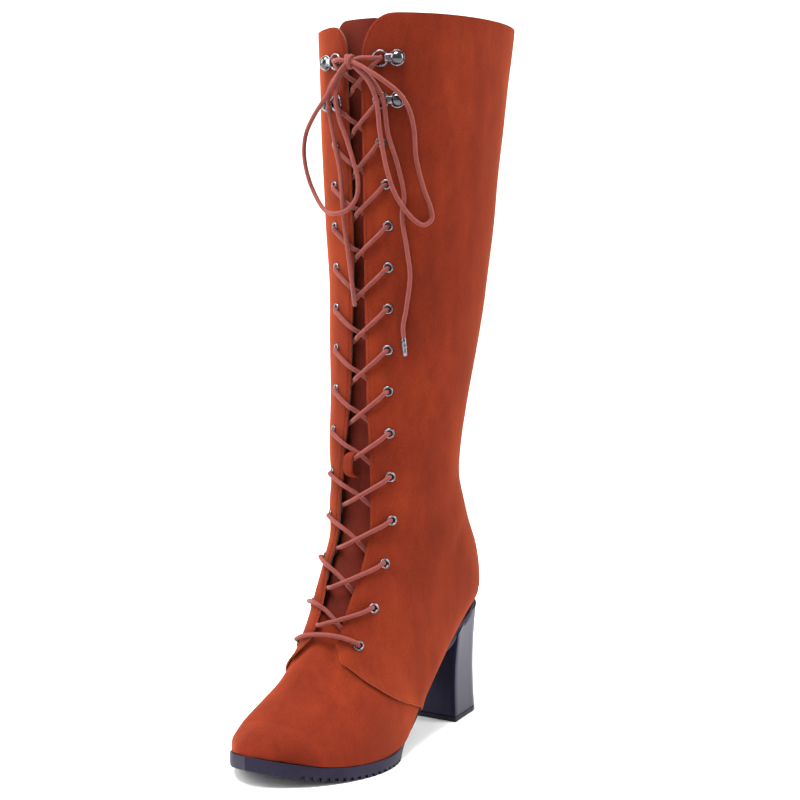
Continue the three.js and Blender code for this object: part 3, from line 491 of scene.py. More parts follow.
def only(piece):
    deselectAll()
    piece.select_set(True)
    bpy.context.view_layer.objects.active = piece
    return piece


def named(piece, name):
    piece.name = piece.data.name = name
    return piece


def applyModifier(piece, kind, **settings):
    only(piece)
    modifier = piece.modifiers.new(kind, kind)
    for key, value in settings.items():
        setattr(modifier, key, value)
    bpy.ops.object.modifier_apply(modifier=modifier.name)


def added(operator, **settings):  # one of Blender's own shapes
    deselectAll()
    operator(**settings)
    return bpy.context.object


def joined(pieces, name):
    deselectAll()
    for piece in pieces:
        piece.select_set(True)
    bpy.context.view_layer.objects.active = pieces[0]
    bpy.ops.object.join()
    return named(bpy.context.object, name)


def smoothed(piece, angle=40):
    only(piece)
    bpy.ops.object.shade_smooth_by_angle(angle=math.radians(angle))
    return piece


def carved(piece, cutters):
    cutter = joined(cutters, "cutter")
    applyModifier(piece, "BOOLEAN", object=cutter, operation="DIFFERENCE", solver="EXACT")
    bpy.data.objects.remove(cutter)
    return piece


# A grid laid on the boot: place turns (along, around), each 0 to 1, into a point in millimetres
def laidGrid(name, alongCount, aroundCount, place):
    piece = named(added(bpy.ops.mesh.primitive_grid_add, x_subdivisions=alongCount,
                        y_subdivisions=aroundCount, size=1), name)
    for vertex in piece.data.vertices:
        point = place(vertex.co.x + 0.5, vertex.co.y + 0.5)
        vertex.co = Vector([float(v) * mm for v in point])
    return piece


def inEditMode(piece, operator, **settings):
    only(piece)
    bpy.ops.object.mode_set(mode="EDIT")
    bpy.ops.mesh.select_all(action="SELECT")
    operator(**settings)
    bpy.ops.object.mode_set(mode="OBJECT")
    return piece


def mergedDoubles(piece, distance=0.02):
    return inEditMode(piece, bpy.ops.mesh.remove_doubles, threshold=distance * mm)


# Both sides of a sheet in one: place turns (side, along, share) into a point, share 0 at the front middle
def twoSided(name, sizes, place, distance=0.05):
    halves = []
    for side in (1, -1):
        def sidePlace(along, around, side=side):
            return place(side, along, 1 - around if side > 0 else around)

        halves.append(laidGrid(name, sizes["along"], sizes["around"], sidePlace))
    return mergedDoubles(joined(halves, name), distance)


def meshPiece(name, vertices, faces):
    mesh = bpy.data.meshes.new(name)
    mesh.from_pydata(vertices, [], faces)
    piece = bpy.data.objects.new(name, mesh)
    bpy.context.scene.collection.objects.link(piece)
    return piece


def ringFaces(rings, count, base=0):  # faces between rings of points, closed at both ends
    faces = []
    for i in range(rings - 1):
        for j in range(count):
            a, b = base + i * count + j, base + i * count + (j + 1) % count
            faces.append((a, b, b + count, a + count))
    end = base + (rings - 1) * count
    return faces + [tuple(reversed(range(base, base + count))), tuple(range(end, end + count))]


def halved(low, high, rounds, past):  # the place between low and high from which past holds
    for _ in range(rounds):
        middle = (low + high) / 2
        low, high = (low, middle) if past(middle) else (middle, high)
    return (low + high) / 2


# Gives a sheet its wall inward, and rounds its cut edges, which may have a second material
def walled(piece, thickness, edge=0.3, rim=0):
    for _ in range(rim * 2):
        piece.data.materials.append(looks["suede"])
    applyModifier(piece, "SOLIDIFY", thickness=thickness * mm, offset=-1, use_even_offset=False,
                  material_offset_rim=rim)
    if edge:
        applyModifier(piece, "BEVEL", width=edge * mm, segments=2, limit_method="ANGLE",
                      angle_limit=math.radians(55))
    return smoothed(piece, 50)


# The vamp: one suede sheet from the toe to under the quarters
vamp = {"inset": 1.0, "thickness": 1.2, "along": 96, "around": 46, "lastStation": 5.9, "underFacing": 2.5,
        "toeRows": 0.28, "sinkFrom": 2.9, "sinkTo": 4.5, "sink": 4.6, "openAt": 4.75, "foldShare": 0.6}


def vampInset(station, across):  # in the throat the vamp sinks to the tongue, whose foot it covers
    down = np.clip((station - vamp["sinkFrom"]) / (vamp["sinkTo"] - vamp["sinkFrom"]), 0, 1)
    inside = np.clip((facingEdge(station, 1 if across >= 0 else -1) + 2.5 - abs(across)) / 4.5, 0, 1)
    return vamp["inset"] + vamp["sink"] * down**2 * (3 - 2 * down) * inside**2 * (3 - 2 * inside)


def vampPlace(side, along, share):
    station = along / vamp["toeRows"] - 1
    if along > vamp["toeRows"]:
        station = vamp["lastStation"] * (along - vamp["toeRows"]) / (1 - vamp["toeRows"])
    edge = 0.0
    if station > vamp["openAt"]:
        opened = min(1, (station - vamp["openAt"]) / 0.06)
        edge = (facingEdge(station, side) + vamp["underFacing"]) * opened
    reach = walkAt(station, side)[2]
    across = side * max(1e-6, edge + (reach - edge) * (1 - (1 - share) ** 1.15))
    return onSkin(station, across, -vampInset(station, across))


def makeVamp():
    piece = twoSided("suede_vamp", vamp, vampPlace, 0.02)
    for vertex in piece.data.vertices:
        vertex.co += vertex.normal * foldLift(np.array(vertex.co) / mm) * mm * vamp["foldShare"]
    return walled(piece, vamp["thickness"])


# The quarters: one suede sheet for both sides, whose facings frame the throat
quarters = {"thickness": 0.95, "along": 118, "around": 52, "joinStation": 7.2, "collarStation": 15.4,
            "seamRise": 1.0, "seamWidth": 0.16, "seamEnd": -0.28, "facingShare": 0.26}


def seamStation(side, share):
    def above(station):
        point = onSkin(station, acrossAt(side, station, share))
        return point[2] > float(seamHeight(point[1])) or point[1] > quarters["seamEnd"] * last["toeReach"]

    return halved(3.2, 6.8, 16, above)


seamShares = np.linspace(0, 1, 25)
seamStations = {side: curveThrough(seamShares, [seamStation(side, s) for s in seamShares]) for side in (1, -1)}


# A short seam below the lowest eyelet: from its top station down, and how far it is from the middle
shortSeam = {"station": 4.27, "length": 0.36, "across": 36.2, "spread": 3.4}


def shortSeamAt(share):
    station = shortSeam["station"] - shortSeam["length"] * share
    return station, shortSeam["across"] + shortSeam["spread"] * share


def quarterPlace(side, along, step):
    # half of the columns lie on the facing
    onFacing = quarters["facingShare"]
    share = step / 0.5 * onFacing if step < 0.5 else onFacing + (step - 0.5) / 0.5 * (1 - onFacing)
    start, join, collar = float(seamStations[side](share)), quarters["joinStation"], quarters["collarStation"]
    top = stationUp(frontLength - collarDip(side, share))
    if along < 0.3:
        station = start + (join - start) * along / 0.3
    elif along < 0.86:
        station = join + (collar - join) * (along - 0.3) / 0.56
    else:
        station = collar + (top - collar) * math.sin((along - 0.86) / 0.14 * math.pi / 2)
    across = side * acrossAt(side, station, share)
    down = (shortSeam["station"] - station) / shortSeam["length"]
    groove = 0
    if 0 < down < 1:
        groove = -0.3 * math.exp(-(((across - shortSeamAt(down)[1]) / 1.1) ** 2))
    # the facing's edge turns in a little above its foot, and the folded seam edge stands up
    fromEdge = across - facingEdge(station, side)
    roll = -0.5 * math.exp(-((fromEdge / 1.6) ** 2)) * np.clip((station - 4.3) / 0.5, 0, 1)
    seamEdge = quarters["seamRise"] * math.exp(-(((station - start) / quarters["seamWidth"]) ** 2))
    return lifted(station, side * across, groove + roll + seamEdge)


def makeQuarters():
    return walled(twoSided("suede_quarters", quarters, quarterPlace), quarters["thickness"], 0.35, 1)


# The lining: a softer sheet inside the shaft, from the ankle to the collar
lining = {"inset": 1.05, "thickness": 1.2, "firstStation": 5.95, "along": 60, "around": 30, "edgeGap": 0.5}


def liningPlace(side, along, share):
    first, top = lining["firstStation"], stationUp(frontLength - collarDip(side, share))
    station = first + (top - first) * math.sin(along * math.pi / 2)
    return lifted(station, acrossAt(side, station, share, lining["edgeGap"]), -lining["inset"])


def makeLining():
    return walled(twoSided("shaft_lining", lining, liningPlace), lining["thickness"], 0)


# The tongue: a sheet behind the facings, with its rounded top at the collar
tongue = {"depth": 6.1, "wall": 1.4, "footHalf": 17, "flare": 8, "corner": 14, "drop": 2, "tuck": 0.8,
          "tucked": 0.06, "tuckDepth": 3.1}


def tonguePlace(along, around):
    length, depth, tucked = frontLength - tongue["drop"], tongue["depth"], tongue["tucked"]
    if along < tucked:  # the foot runs on under the vamp
        station = throatStation - tongue["tuck"] * (1 - along / tucked)
        depth -= tongue["tuckDepth"] * (1 - along / tucked)
        up = 0
    else:
        up = math.sin((along - tucked) / (1 - tucked) * math.pi / 2) * length
        station = stationUp(up)
    corner, fromTop = 0, length - up
    if fromTop < tongue["corner"]:
        corner = tongue["corner"] - math.sqrt(tongue["corner"] ** 2 - (tongue["corner"] - fromTop) ** 2)
    across = (1 - 2 * around) * (tongue["footHalf"] + tongue["flare"] * up / length - corner)
    # small waves where the laces press
    wave = 0.35 * math.sin(up / 7.5) * math.cos(across / 9) + 0.3 * math.sin(up / 19 + across / 11)
    return onSkin(station, across if abs(across) > 1e-6 else 1e-6, -depth + wave - 0.3)


def makeTongue():
    return walled(laidGrid("suede_tongue", 110, 16, tonguePlace), tongue["wall"])


print("sheets laid")


# One node with its settings, values and links
def addNode(material, kind, values=None, links=None, **settings):
    node = material.node_tree.nodes.new("ShaderNode" + kind)
    for key, value in settings.items():
        setattr(node, key, value)
    for socket, value in (values or {}).items():
        node.inputs[socket].default_value = value
    for socket, source in (links or {}).items():
        material.node_tree.links.new(source, node.inputs[socket])
    return node


def linear(colour):
    parts = [int(colour[i:i + 2], 16) / 255 for i in (1, 3, 5)]
    return [p / 12.92 if p <= 0.04045 else ((p + 0.055) / 1.055) ** 2.4 for p in parts] + [1.0]


def newMaterial(name, **sockets):
    material = bpy.data.materials.new(name)
    material.use_nodes = True
    shader = material.node_tree.nodes["Principled BSDF"]
    for socket, value in sockets.items():
        shader.inputs[socket.replace("_", " ")].default_value = value
    return material, shader


def ramp(material, factor, stops):
    node = addNode(material, "ValToRGB", links={"Fac": factor})
    elements = node.color_ramp.elements
    while len(elements) < len(stops):
        elements.new(0.5)
    for element, (position, colour) in zip(elements, stops):
        element.position = position
        element.color = linear(colour)
    return node.outputs["Color"]


def noise(material, size, vector, detail=3.0, rough=0.55):  # size in millimetres
    values = {"Scale": 1 / (size * mm), "Detail": detail, "Roughness": rough}
    return addNode(material, "TexNoise", values, {"Vector": vector}).outputs["Fac"]


def multiplied(material, share, first, second):
    colours = {"Color1": first, "Color2": second}
    node = addNode(material, "MixRGB", {"Fac": share}, colours, blend_type="MULTIPLY")
    return node.outputs["Color"]


def onObject(material, scale=None):  # a place on the object, or one with its pattern stretched
    place = addNode(material, "TexCoord").outputs["Object"]
    if scale:
        place = addNode(material, "Mapping", {"Scale": scale}, {"Vector": place}).outputs["Vector"]
    return place


# Joins a colour to the shader, and a height as a bump with its strength and depth in millimetres
def joinedUp(material, shader, colour, height=None, strength=0.3, depth=0.1):
    material.node_tree.links.new(colour, shader.inputs["Base Color"])
    if height:
        bump = addNode(material, "Bump", {"Strength": strength, "Distance": depth * mm}, {"Height": height})
        material.node_tree.links.new(bump.outputs["Normal"], shader.inputs["Normal"])
    return material


# Brushed kid suede, dyed rust: a dull nap with darker strokes where it was last brushed, paler at high spots
suedeLook = {"shade": "#54190B", "body": "#641F0E", "pale": "#782B12", "mottle": 34, "stroke": 9, "nap": 0.7}


def makeSuede(name, shade, body, pale):
    material, shader = newMaterial(name, Roughness=0.93, IOR=1.45, Sheen_Weight=0.32, Sheen_Roughness=0.45,
                                   Sheen_Tint=linear("#D8662E"), Specular_IOR_Level=0.1)
    stretched = onObject(material, (1.0, 1.0, 0.45))
    mottle = noise(material, suedeLook["mottle"], stretched, 4.0, 0.6)
    stroke = noise(material, suedeLook["stroke"], stretched, 3.0, 0.6)
    nap = noise(material, suedeLook["nap"], onObject(material), 2.0, 0.7)
    colour = ramp(material, mottle, [(0.2, shade), (0.5, body), (0.8, pale)])
    colour = multiplied(material, 0.6, colour, ramp(material, stroke, [(0.3, "#DCDCDC"), (0.6, "#FFFFFF")]))
    colour = multiplied(material, 0.75, colour, ramp(material, nap, [(0.3, "#CFCFCF"), (0.65, "#FFFFFF")]))
    height = addNode(material, "Math", {1: 0.35}, {0: stroke}, operation="MULTIPLY").outputs[0]
    height = addNode(material, "Math", {}, {0: height, 1: nap}, operation="ADD").outputs[0]
    return joinedUp(material, shader, colour, height, 0.35, 0.25)


# Waxed round cord of braided cotton, a little pinker than the suede
def makeLaceCloth():
    material, shader = newMaterial("braidedCottonCord", Roughness=0.86, IOR=1.5, Sheen_Weight=0.2,
                                   Sheen_Roughness=0.5, Sheen_Tint=linear("#E9A08C"))
    uv = addNode(material, "UVMap", uv_map="cordMap").outputs["UV"]
    waves = []
    for turn in (1, -1):  # strands 0.8 mm apart, crossing
        tilted = addNode(material, "Mapping", {"Rotation": (0, 0, turn * math.radians(40))}, {"Vector": uv})
        wave = addNode(material, "TexWave", {"Scale": 0.42}, {"Vector": tilted.outputs["Vector"]},
                       bands_direction="X")
        waves.append(wave.outputs["Fac"])
    braid = addNode(material, "Math", {}, {0: waves[0], 1: waves[1]}, operation="MAXIMUM").outputs[0]
    fibre = ramp(material, noise(material, 2.5, onObject(material)), [(0.3, "#B8B8B8"), (0.65, "#FFFFFF")])
    colour = multiplied(material, 0.5, ramp(material, braid, [(0.35, "#4A1711"), (0.85, "#74281F")]), fibre)
    return joinedUp(material, shader, colour, braid, 0.5, 0.2)


# Smooth stuff with soft clouds: cloud size in millimetres, two dyes, and a roughness that follows the clouds
def makeClouded(name, size, stops, detail=3.0, scale=None, roughSpan=None, grain=None, **sockets):
    material, shader = newMaterial(name, **sockets)
    place = onObject(material, scale)
    cloud = noise(material, size, place, detail)
    if roughSpan:
        values = {"To Min": roughSpan[0], "To Max": roughSpan[1]}
        rough = addNode(material, "MapRange", values, {"Value": cloud}).outputs[0]
        material.node_tree.links.new(rough, shader.inputs["Roughness"])
    height = noise(material, grain, place, 2.0) if grain else None
    return joinedUp(material, shader, ramp(material, cloud, stops), height, 0.25)


def makeRubber(name, dark, light):
    return makeClouded(name, 14, [(0.35, dark), (0.7, light)], 4.0, grain=0.5, Roughness=0.62, IOR=1.52,
                       Specular_IOR_Level=0.24, Specular_Tint=linear("#D8C8FF"))


# Woven textile lining and the board under the foot
def makeLiningCloth():
    material, shader = newMaterial("wovenLining", Roughness=0.9, IOR=1.5, Sheen_Weight=0.2)
    place = onObject(material)
    values = {"Scale": 1 / (1.6 * mm), "Mortar Size": 0.03, "Color1": linear("#5E3428"),
              "Color2": linear("#522C22"), "Mortar": linear("#381C14")}
    weave = addNode(material, "TexBrick", values, {"Vector": place})
    fade = ramp(material, noise(material, 20, place), [(0.3, "#C8C8C8"), (0.7, "#FFFFFF")])
    colour = multiplied(material, 0.7, weave.outputs["Color"], fade)
    return joinedUp(material, shader, colour, weave.outputs["Fac"], 0.3, 0.15)


looks = {
    "suede": makeSuede("brushedSuede", suedeLook["shade"], suedeLook["body"], suedeLook["pale"]),
    # the tongue's suede: the same suede dyed darker, painted shade for the gap behind the facings where the tongue
    # lies
    "tongueSuedePaintedShade": makeSuede("tongueSuedePaintedShade", "#461510", "#521A12", "#5F2016"),
    # the cut edges' suede, dyed paler: partly the cut edge's own colour, partly a painted highlight along the facing
    # edges
    "cutEdgeWithHighlight": makeSuede("suedeCutEdgeWithPaintedHighlight", "#7A3822", "#8C442C", "#9C5238"),
    "thread": makeSuede("waxedThread", "#5E1E0E", "#6C2412", "#7A2E18"),
    "lace": makeLaceCloth(),
    # gunmetal plating on pressed brass: dark, glossy, worn a little paler
    "metal": makeClouded("gunmetalPlating", 1.6, [(0.4, "#5A565C"), (0.7, "#8A858C")], roughSpan=(0.18, 0.36),
                         Metallic=1.0, Roughness=0.24),
    # black enamel on the domes: a deep gloss with hardly any grain
    "enamel": makeClouded("blackEnamel", 1.2, [(0.4, "#060608"), (0.7, "#101014")], Roughness=0.1, IOR=1.5,
                          Coat_Weight=0.6, Coat_Roughness=0.05),
    # shrunk film round the end of a lace, dyed like it
    "tipFilm": makeClouded("dyedShrinkFilm", 3, [(0.35, "#501C15"), (0.7, "#6A2A20")], Roughness=0.42,
                           IOR=1.5),
    # moulded rubber: dark, faintly purple, with a fine matt grain
    "soleRubber": makeRubber("mouldedSoleRubber", "#0E0D15", "#181620"),
    "liftRubber": makeRubber("topLiftRubber", "#121114", "#1C1B1F"),
    # lacquered heel: a smooth dark coat over a moulded block, with a soft gloss
    "heel": makeClouded("lacqueredHeel", 6, [(0.3, "#101019"), (0.7, "#1B1B28")], 4.0, (1.0, 1.0, 0.15),
                        (0.3, 0.46), Roughness=0.36, IOR=1.5, Coat_Weight=0.04, Coat_Roughness=0.2,
                        Specular_IOR_Level=0.3, Specular_Tint=linear("#CFC4FF")),
    "lining": makeLiningCloth(),
}
slots = {
    "suede": "suede", "tongueSuedePaintedShade": "suede", "thread": "suede", "lace": "lace", "metal": "metal",
    "enamel": "metal", "tipFilm": "metal", "soleRubber": "sole_rubber", "liftRubber": "top_lift_rubber",
    "heel": "heel", "lining": "lining",
}
print("materials made")


def dressed(piece, look, *standsFor, rim=None):
    marks = [polygon.material_index for polygon in piece.data.polygons]
    piece.data.materials.clear()
    piece.data.materials.append(looks[look])
    if rim:
        piece.data.materials.append(looks[rim])
        piece.data.polygons.foreach_set("material_index", marks)
    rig.slot(piece, slots[look])
    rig.ride(piece, bodyName)
    if standsFor:
        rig.replaces(piece, *standsFor)
    return piece


bodyName = next(iter(frame["bodies"]))

# The sheets, with holes for the eyelets
eyelet = {"hole": 2.0, "cut": 9, "ring": 2.4, "wire": 0.62, "seat": 0.28, "barrel": 1.3}


def seatMatrix(station, across, lift):
    point = onSkin(station, across, lift)
    turns, lengths, _ = walkAt(station, 1 if across >= 0 else -1)
    normal = Vector(skinNormal(station, np.interp(abs(across), lengths, turns)))
    up = Vector(onSkin(min(topStation, station + 0.05), across, lift) - point)
    side = up.cross(normal).normalized()
    matrix = Matrix((side, normal.cross(side), normal)).transposed().to_4x4()
    matrix.translation = Vector(point) * mm
    return matrix


def eyeletSeats():
    seats = []
    for side, word in ((1, "outer"), (-1, "inner")):
        for i in range(facing["eyelets"]):
            station = stationUp(rowUp(i))
            seats.append((f"eyelet_{word}_{i + 1:02d}", station, side * eyeletFromMiddle(station)))
    return seats


def punchHoles(sheet):
    cutters = []
    for _, station, across in eyeletSeats():
        cutter = added(bpy.ops.mesh.primitive_cylinder_add, vertices=16, radius=eyelet["hole"] * mm,
                       depth=eyelet["cut"] * mm)
        cutter.data.transform(seatMatrix(station, across, 0))
        cutters.append(cutter)
    return carved(sheet, cutters)


dressed(makeVamp(), "suede")
dressed(punchHoles(makeQuarters()), "suede", "upper", rim="cutEdgeWithHighlight")
dressed(makeLining(), "lining")
dressed(makeTongue(), "tongueSuedePaintedShade", "tongue")
print("sheets dressed")


# Eyelets: a rolled ring pressed over a barrel, modelled once
def makeEyeletRing():
    ring = added(bpy.ops.mesh.primitive_torus_add, major_segments=24, minor_segments=8,
                 major_radius=eyelet["ring"] * mm, minor_radius=eyelet["wire"] * mm)
    for vertex in ring.data.vertices:  # the roll is flatter than round, with a barrel inside
        r = math.hypot(vertex.co.x, vertex.co.y)
        vertex.co.z = vertex.co.z * 0.8 + eyelet["seat"] * mm
        if r < (eyelet["ring"] - 0.35) * mm and vertex.co.z < 0.1 * mm:
            vertex.co.z -= eyelet["barrel"] * mm
    return smoothed(ring, 60)


def placeEyelets():
    first = makeEyeletRing()
    for name, station, across in eyeletSeats():
        copy = first.copy()
        copy.data = first.data.copy()
        bpy.context.scene.collection.objects.link(copy)
        copy.data.transform(seatMatrix(station, across, 0.15 + foldLift(onSkin(station, across))))
        dressed(named(copy, name.replace("eyelet", "rolled_eyelet")), "metal", name)
    bpy.data.objects.remove(first)


placeEyelets()


# Ring holders: a domed rivet, a folded clip and a wire ring
holder = {"ring": 4.3, "wire": 0.6, "dome": 4.1, "domeHeight": 3.3, "domeSeat": 0.75, "rimWidth": 0.5,
          "rimHeight": 0.8, "clipWidth": 4.6, "clipHeight": 2.7, "clipLap": 1.6}


def makeHolder(side):
    reach = facing["domeInset"] - facing["ringInset"]
    ring = added(bpy.ops.mesh.primitive_torus_add, major_segments=36, minor_segments=10,
                 major_radius=holder["ring"] * mm, minor_radius=holder["wire"] * mm)
    ring.data.transform(Matrix.Translation((0, 0, (holder["wire"] + 0.5) * mm)))
    dome = added(bpy.ops.mesh.primitive_uv_sphere_add, segments=28, ring_count=16, radius=holder["dome"] * mm)
    for vertex in dome.data.vertices:
        up = vertex.co.z * holder["domeHeight"] / holder["dome"] if vertex.co.z > 0 else -0.3 * mm
        vertex.co.z = up + holder["domeSeat"] * mm
        vertex.co.x += side * reach * mm
    base = added(bpy.ops.mesh.primitive_cylinder_add, vertices=28, depth=holder["rimHeight"] * mm,
                 radius=(holder["dome"] + holder["rimWidth"]) * mm)
    base.data.transform(Matrix.Translation((side * reach * mm, 0, 0.5 * mm)))
    clip = added(bpy.ops.mesh.primitive_cube_add, size=1)
    length = reach - holder["ring"] + 2 * holder["clipLap"]
    middle = side * (holder["ring"] - holder["clipLap"] + length / 2)
    for vertex in clip.data.vertices:
        x, y, z = vertex.co
        vertex.co = Vector((x * length + middle, y * holder["clipWidth"], z * holder["clipHeight"] + 1.5)) * mm
    applyModifier(clip, "BEVEL", width=0.7 * mm, segments=3)
    applyModifier(base, "BEVEL", width=0.2 * mm, segments=2, limit_method="ANGLE")
    return smoothed(joined([ring, base, clip], "holder"), 45), smoothed(dome, 45)


def ringAcross(side, station):
    return side * (float(gapHalf(station)) + facing["ringInset"]) + facing["holderShift"]


for side, word in ((1, "outer"), (-1, "inner")):
    for i in range(2):
        piece, dome = makeHolder(side)
        station = stationUp(rowUp(facing["eyelets"] + i))
        for part in (piece, dome):
            part.data.transform(seatMatrix(station, ringAcross(side, station), 0.1))
        dressed(named(piece, f"ring_and_clip_{word}_{i + 1}"), "metal", f"ring_holder_{word}_{i + 1}")
        dressed(named(dome, f"enamelled_dome_{word}_{i + 1}"), "enamel")
print("metal fitted")


# The camera that the photo suggests, in metres and degrees, and the floor
studio = {"floor": "#F6F6F6", "floorGlow": 0.3, "lens": 70.2, "camera": (0.5008, -0.8414, 0.280),
          "turn": 32.10, "pitch": 4.86}

# Cords: points in millimetres become an even smooth path, then a round tube with its own map
cordLook = {"diameter": 2.6, "sides": 12}


def pathRuns(path):
    return np.concatenate([[0], np.cumsum([(q - p).length for p, q in zip(path, path[1:])])])


def pointAt(path, runs, mark):
    return Vector([float(np.interp(mark, runs, [p[k] for p in path])) for k in range(3)])


def smoothPath(points, spacing):
    points = [Vector([float(v) for v in p]) for p in points]
    ends = [points[0] * 2 - points[1]] + points + [points[-1] * 2 - points[-2]]
    dense = []
    for a, b, c, d in zip(ends, ends[1:], ends[2:], ends[3:]):
        knots = [0.0]
        for p, q in ((a, b), (b, c), (c, d)):
            knots.append(knots[-1] + max(1e-4, (q - p).length) ** 0.5)
        for step in range(12):
            t = knots[1] + (knots[2] - knots[1]) * step / 12
            ab = a.lerp(b, (t - knots[0]) / (knots[1] - knots[0]))
            bc = b.lerp(c, (t - knots[1]) / (knots[2] - knots[1]))
            cd = c.lerp(d, (t - knots[2]) / (knots[3] - knots[2]))
            abc = ab.lerp(bc, (t - knots[0]) / (knots[2] - knots[0]))
            bcd = bc.lerp(cd, (t - knots[1]) / (knots[3] - knots[1]))
            dense.append(abc.lerp(bcd, (t - knots[1]) / (knots[2] - knots[1])))
    dense.append(points[-1])
    runs = pathRuns(dense)
    count = max(4, int(round(runs[-1] / spacing)))
    return [pointAt(dense, runs, mark) for mark in np.linspace(0, runs[-1], count + 1)]


def makeTube(name, points, diameter=cordLook["diameter"], spacing=1.2, pinch=1.0):
    path, sides = smoothPath(points, spacing), cordLook["sides"]
    final = len(path) - 1
    vertices, marks = [], []
    side = (path[1] - path[0]).orthogonal().normalized()
    run = 0.0
    for i, point in enumerate(path):
        ahead = (path[min(i + 1, final)] - path[max(i - 1, 0)]).normalized()
        side = (side - ahead * side.dot(ahead)).normalized()
        other = ahead.cross(side)
        if i:
            run += (point - path[i - 1]).length
        marks.append(run)
        wide = diameter / 2 * (pinch if i in (0, final) else 1)
        for j in range(sides):
            angle = 2 * math.pi * j / sides
            vertices.append((point + (side * math.cos(angle) + other * math.sin(angle)) * wide) * mm)
    piece = meshPiece(name, vertices, ringFaces(len(path), sides))
    mesh = piece.data
    layer = mesh.uv_layers.new(name="cordMap")
    for polygon in mesh.polygons:
        corners = [mesh.loops[k].vertex_index for k in polygon.loop_indices]
        seam = len(corners) == 4 and {c % sides for c in corners} == {0, sides - 1}
        for k, corner in zip(polygon.loop_indices, corners):
            around = sides if seam and corner % sides == 0 else corner % sides
            layer.data[k].uv = (marks[corner // sides], around / sides * math.pi * diameter)
    smoothed(piece, 60)
    return piece, [p * mm for p in path]


lacing = {
    "gap": 0.35, "underGap": 0.5, "drop": 3.8, "sag": 0.9, "crossLift": 1.35, "slant": 0.15,
    # an arm's first places: across, lift, past the ring, and whether the lift starts on the facing
    "fromRing": [(1.2, 1.7, 0, 0), (-0.8, 2.3, 0, 0), (0.2, 4.0, 1, 0), (-2.4, 2.9, 1, 0)],
    "fromEyelet": [(0.3, -3.4, 0, 0), (-0.35, -0.6, 0, 0), (-1.8, 0.5, 0, 1), (-4.2, 0.6, 0, 1)],
}
overFacing = cordLook["diameter"] / 2 + lacing["gap"]
underFacing = -(2.4 + lacing["underGap"] + cordLook["diameter"] / 2)


# Where a point lies as seen from the front and outer side: to the right, and up
def seen(point):
    turn, pitch = math.radians(studio["turn"]), math.radians(studio["pitch"])
    depth = point[1] * math.cos(turn) - point[0] * math.sin(turn)
    return point[0] * math.cos(turn) + point[1] * math.sin(turn), point[2] + depth * math.tan(pitch)


# One arm: out of its eyelet, over its facing, across the gap, under the other facing to the eyelet below
def armPoints(i, side):
    start, end = rowUp(i), rowUp(i - 1) + lacing["drop"]
    startStation, endStation = stationUp(start), stationUp(end)
    station, below = stationUp((start + end) / 2), stationUp(rowUp(i - 1))
    gap, fromRing = float(gapHalf(station)), i >= facing["eyelets"]
    origin = side * ringAcross(side, startStation) if fromRing else eyeletFromMiddle(startStation)
    reach = -gap - 2.5

    def slanted(across):
        point = onSkin(station, side * across)
        return side * point[0] + lacing["slant"] * point[1]

    first, final = seen(onSkin(startStation, origin, overFacing)), seen(onSkin(endStation, reach, underFacing))

    def place(across, lift):
        share = (slanted(origin) - slanted(across)) / (slanted(origin) - slanted(reach))
        if side < 0 or share < 0.08:
            return onSkin(stationUp(start + (end - start) * min(1.0, share)), side * across, lift)

        def aboveLine(middle):  # the outer arms look straight in the picture
            right, rise = seen(onSkin(middle, across, lift))
            return rise >= first[1] + (final[1] - first[1]) * (right - first[0]) / (final[0] - first[0])

        return onSkin(halved(endStation - 0.4, startStation + 0.4, 12, aboveLine), across, lift)

    beginning = lacing["fromRing"] if fromRing else lacing["fromEyelet"]
    points = [place(origin + inward - far * holder["ring"], lift + onTop * overFacing)
              for inward, lift, far, onTop in beginning]
    points += [
        place(gap + 1.5, overFacing + 0.1), place(gap * 0.62, overFacing - 1.0),
        place(0, side * lacing["crossLift"] - lacing["sag"]),
        place(-gap + 1.6, underFacing + 0.9), place(reach, underFacing + 0.05),
    ]
    if i - 1 < facing["eyelets"]:
        points.append(onSkin(below, side * (2.0 - eyeletFromMiddle(below)), underFacing))
    return points


def makeArms():
    for i in range(1, facing["eyelets"] + 2):
        arms = [makeTube("arm", armPoints(i, side))[0] for side in (1, -1)]
        dressed(smoothed(joined(arms, f"lace_pair_{i:02d}"), 60), "lace", f"lace_crossing_{i:02d}")


# The straight bar, from its middle out: across, station and lift over the facing, on each side
barPlaces = {
    1: [(3.2, 4.1, -1.2), (10.6, 4.19, 0.0), (17.5, 4.29, 0.3), (22.3, 4.35, 0.5)],
    -1: [(3.2, 4.06, -1.2), (10.6, 4.1, 0.0), (17.5, 4.2, 0.3), (22.3, 4.3, 0.5)],
}


def makeBar():  # the stations keep it straight where it lies over the instep
    foot = stationUp(rowUp(0))
    reach = eyeletFromMiddle(foot)
    halves = {}
    for side, places in barPlaces.items():
        halves[side] = [onSkin(station, side * across, overFacing + lift) for across, station, lift in places]
        into = ((-1.9, foot - 0.01, overFacing + 0.5), (-0.3, foot, -0.4), (0.3, foot, -3.2))
        halves[side] += [onSkin(station, side * (reach + across), lift) for across, station, lift in into]
    piece, _ = makeTube("lace_straight_bar", halves[1][::-1] + halves[-1])
    dressed(piece, "lace", "lace_bar")


makeArms()
makeBar()
print("lacing run")


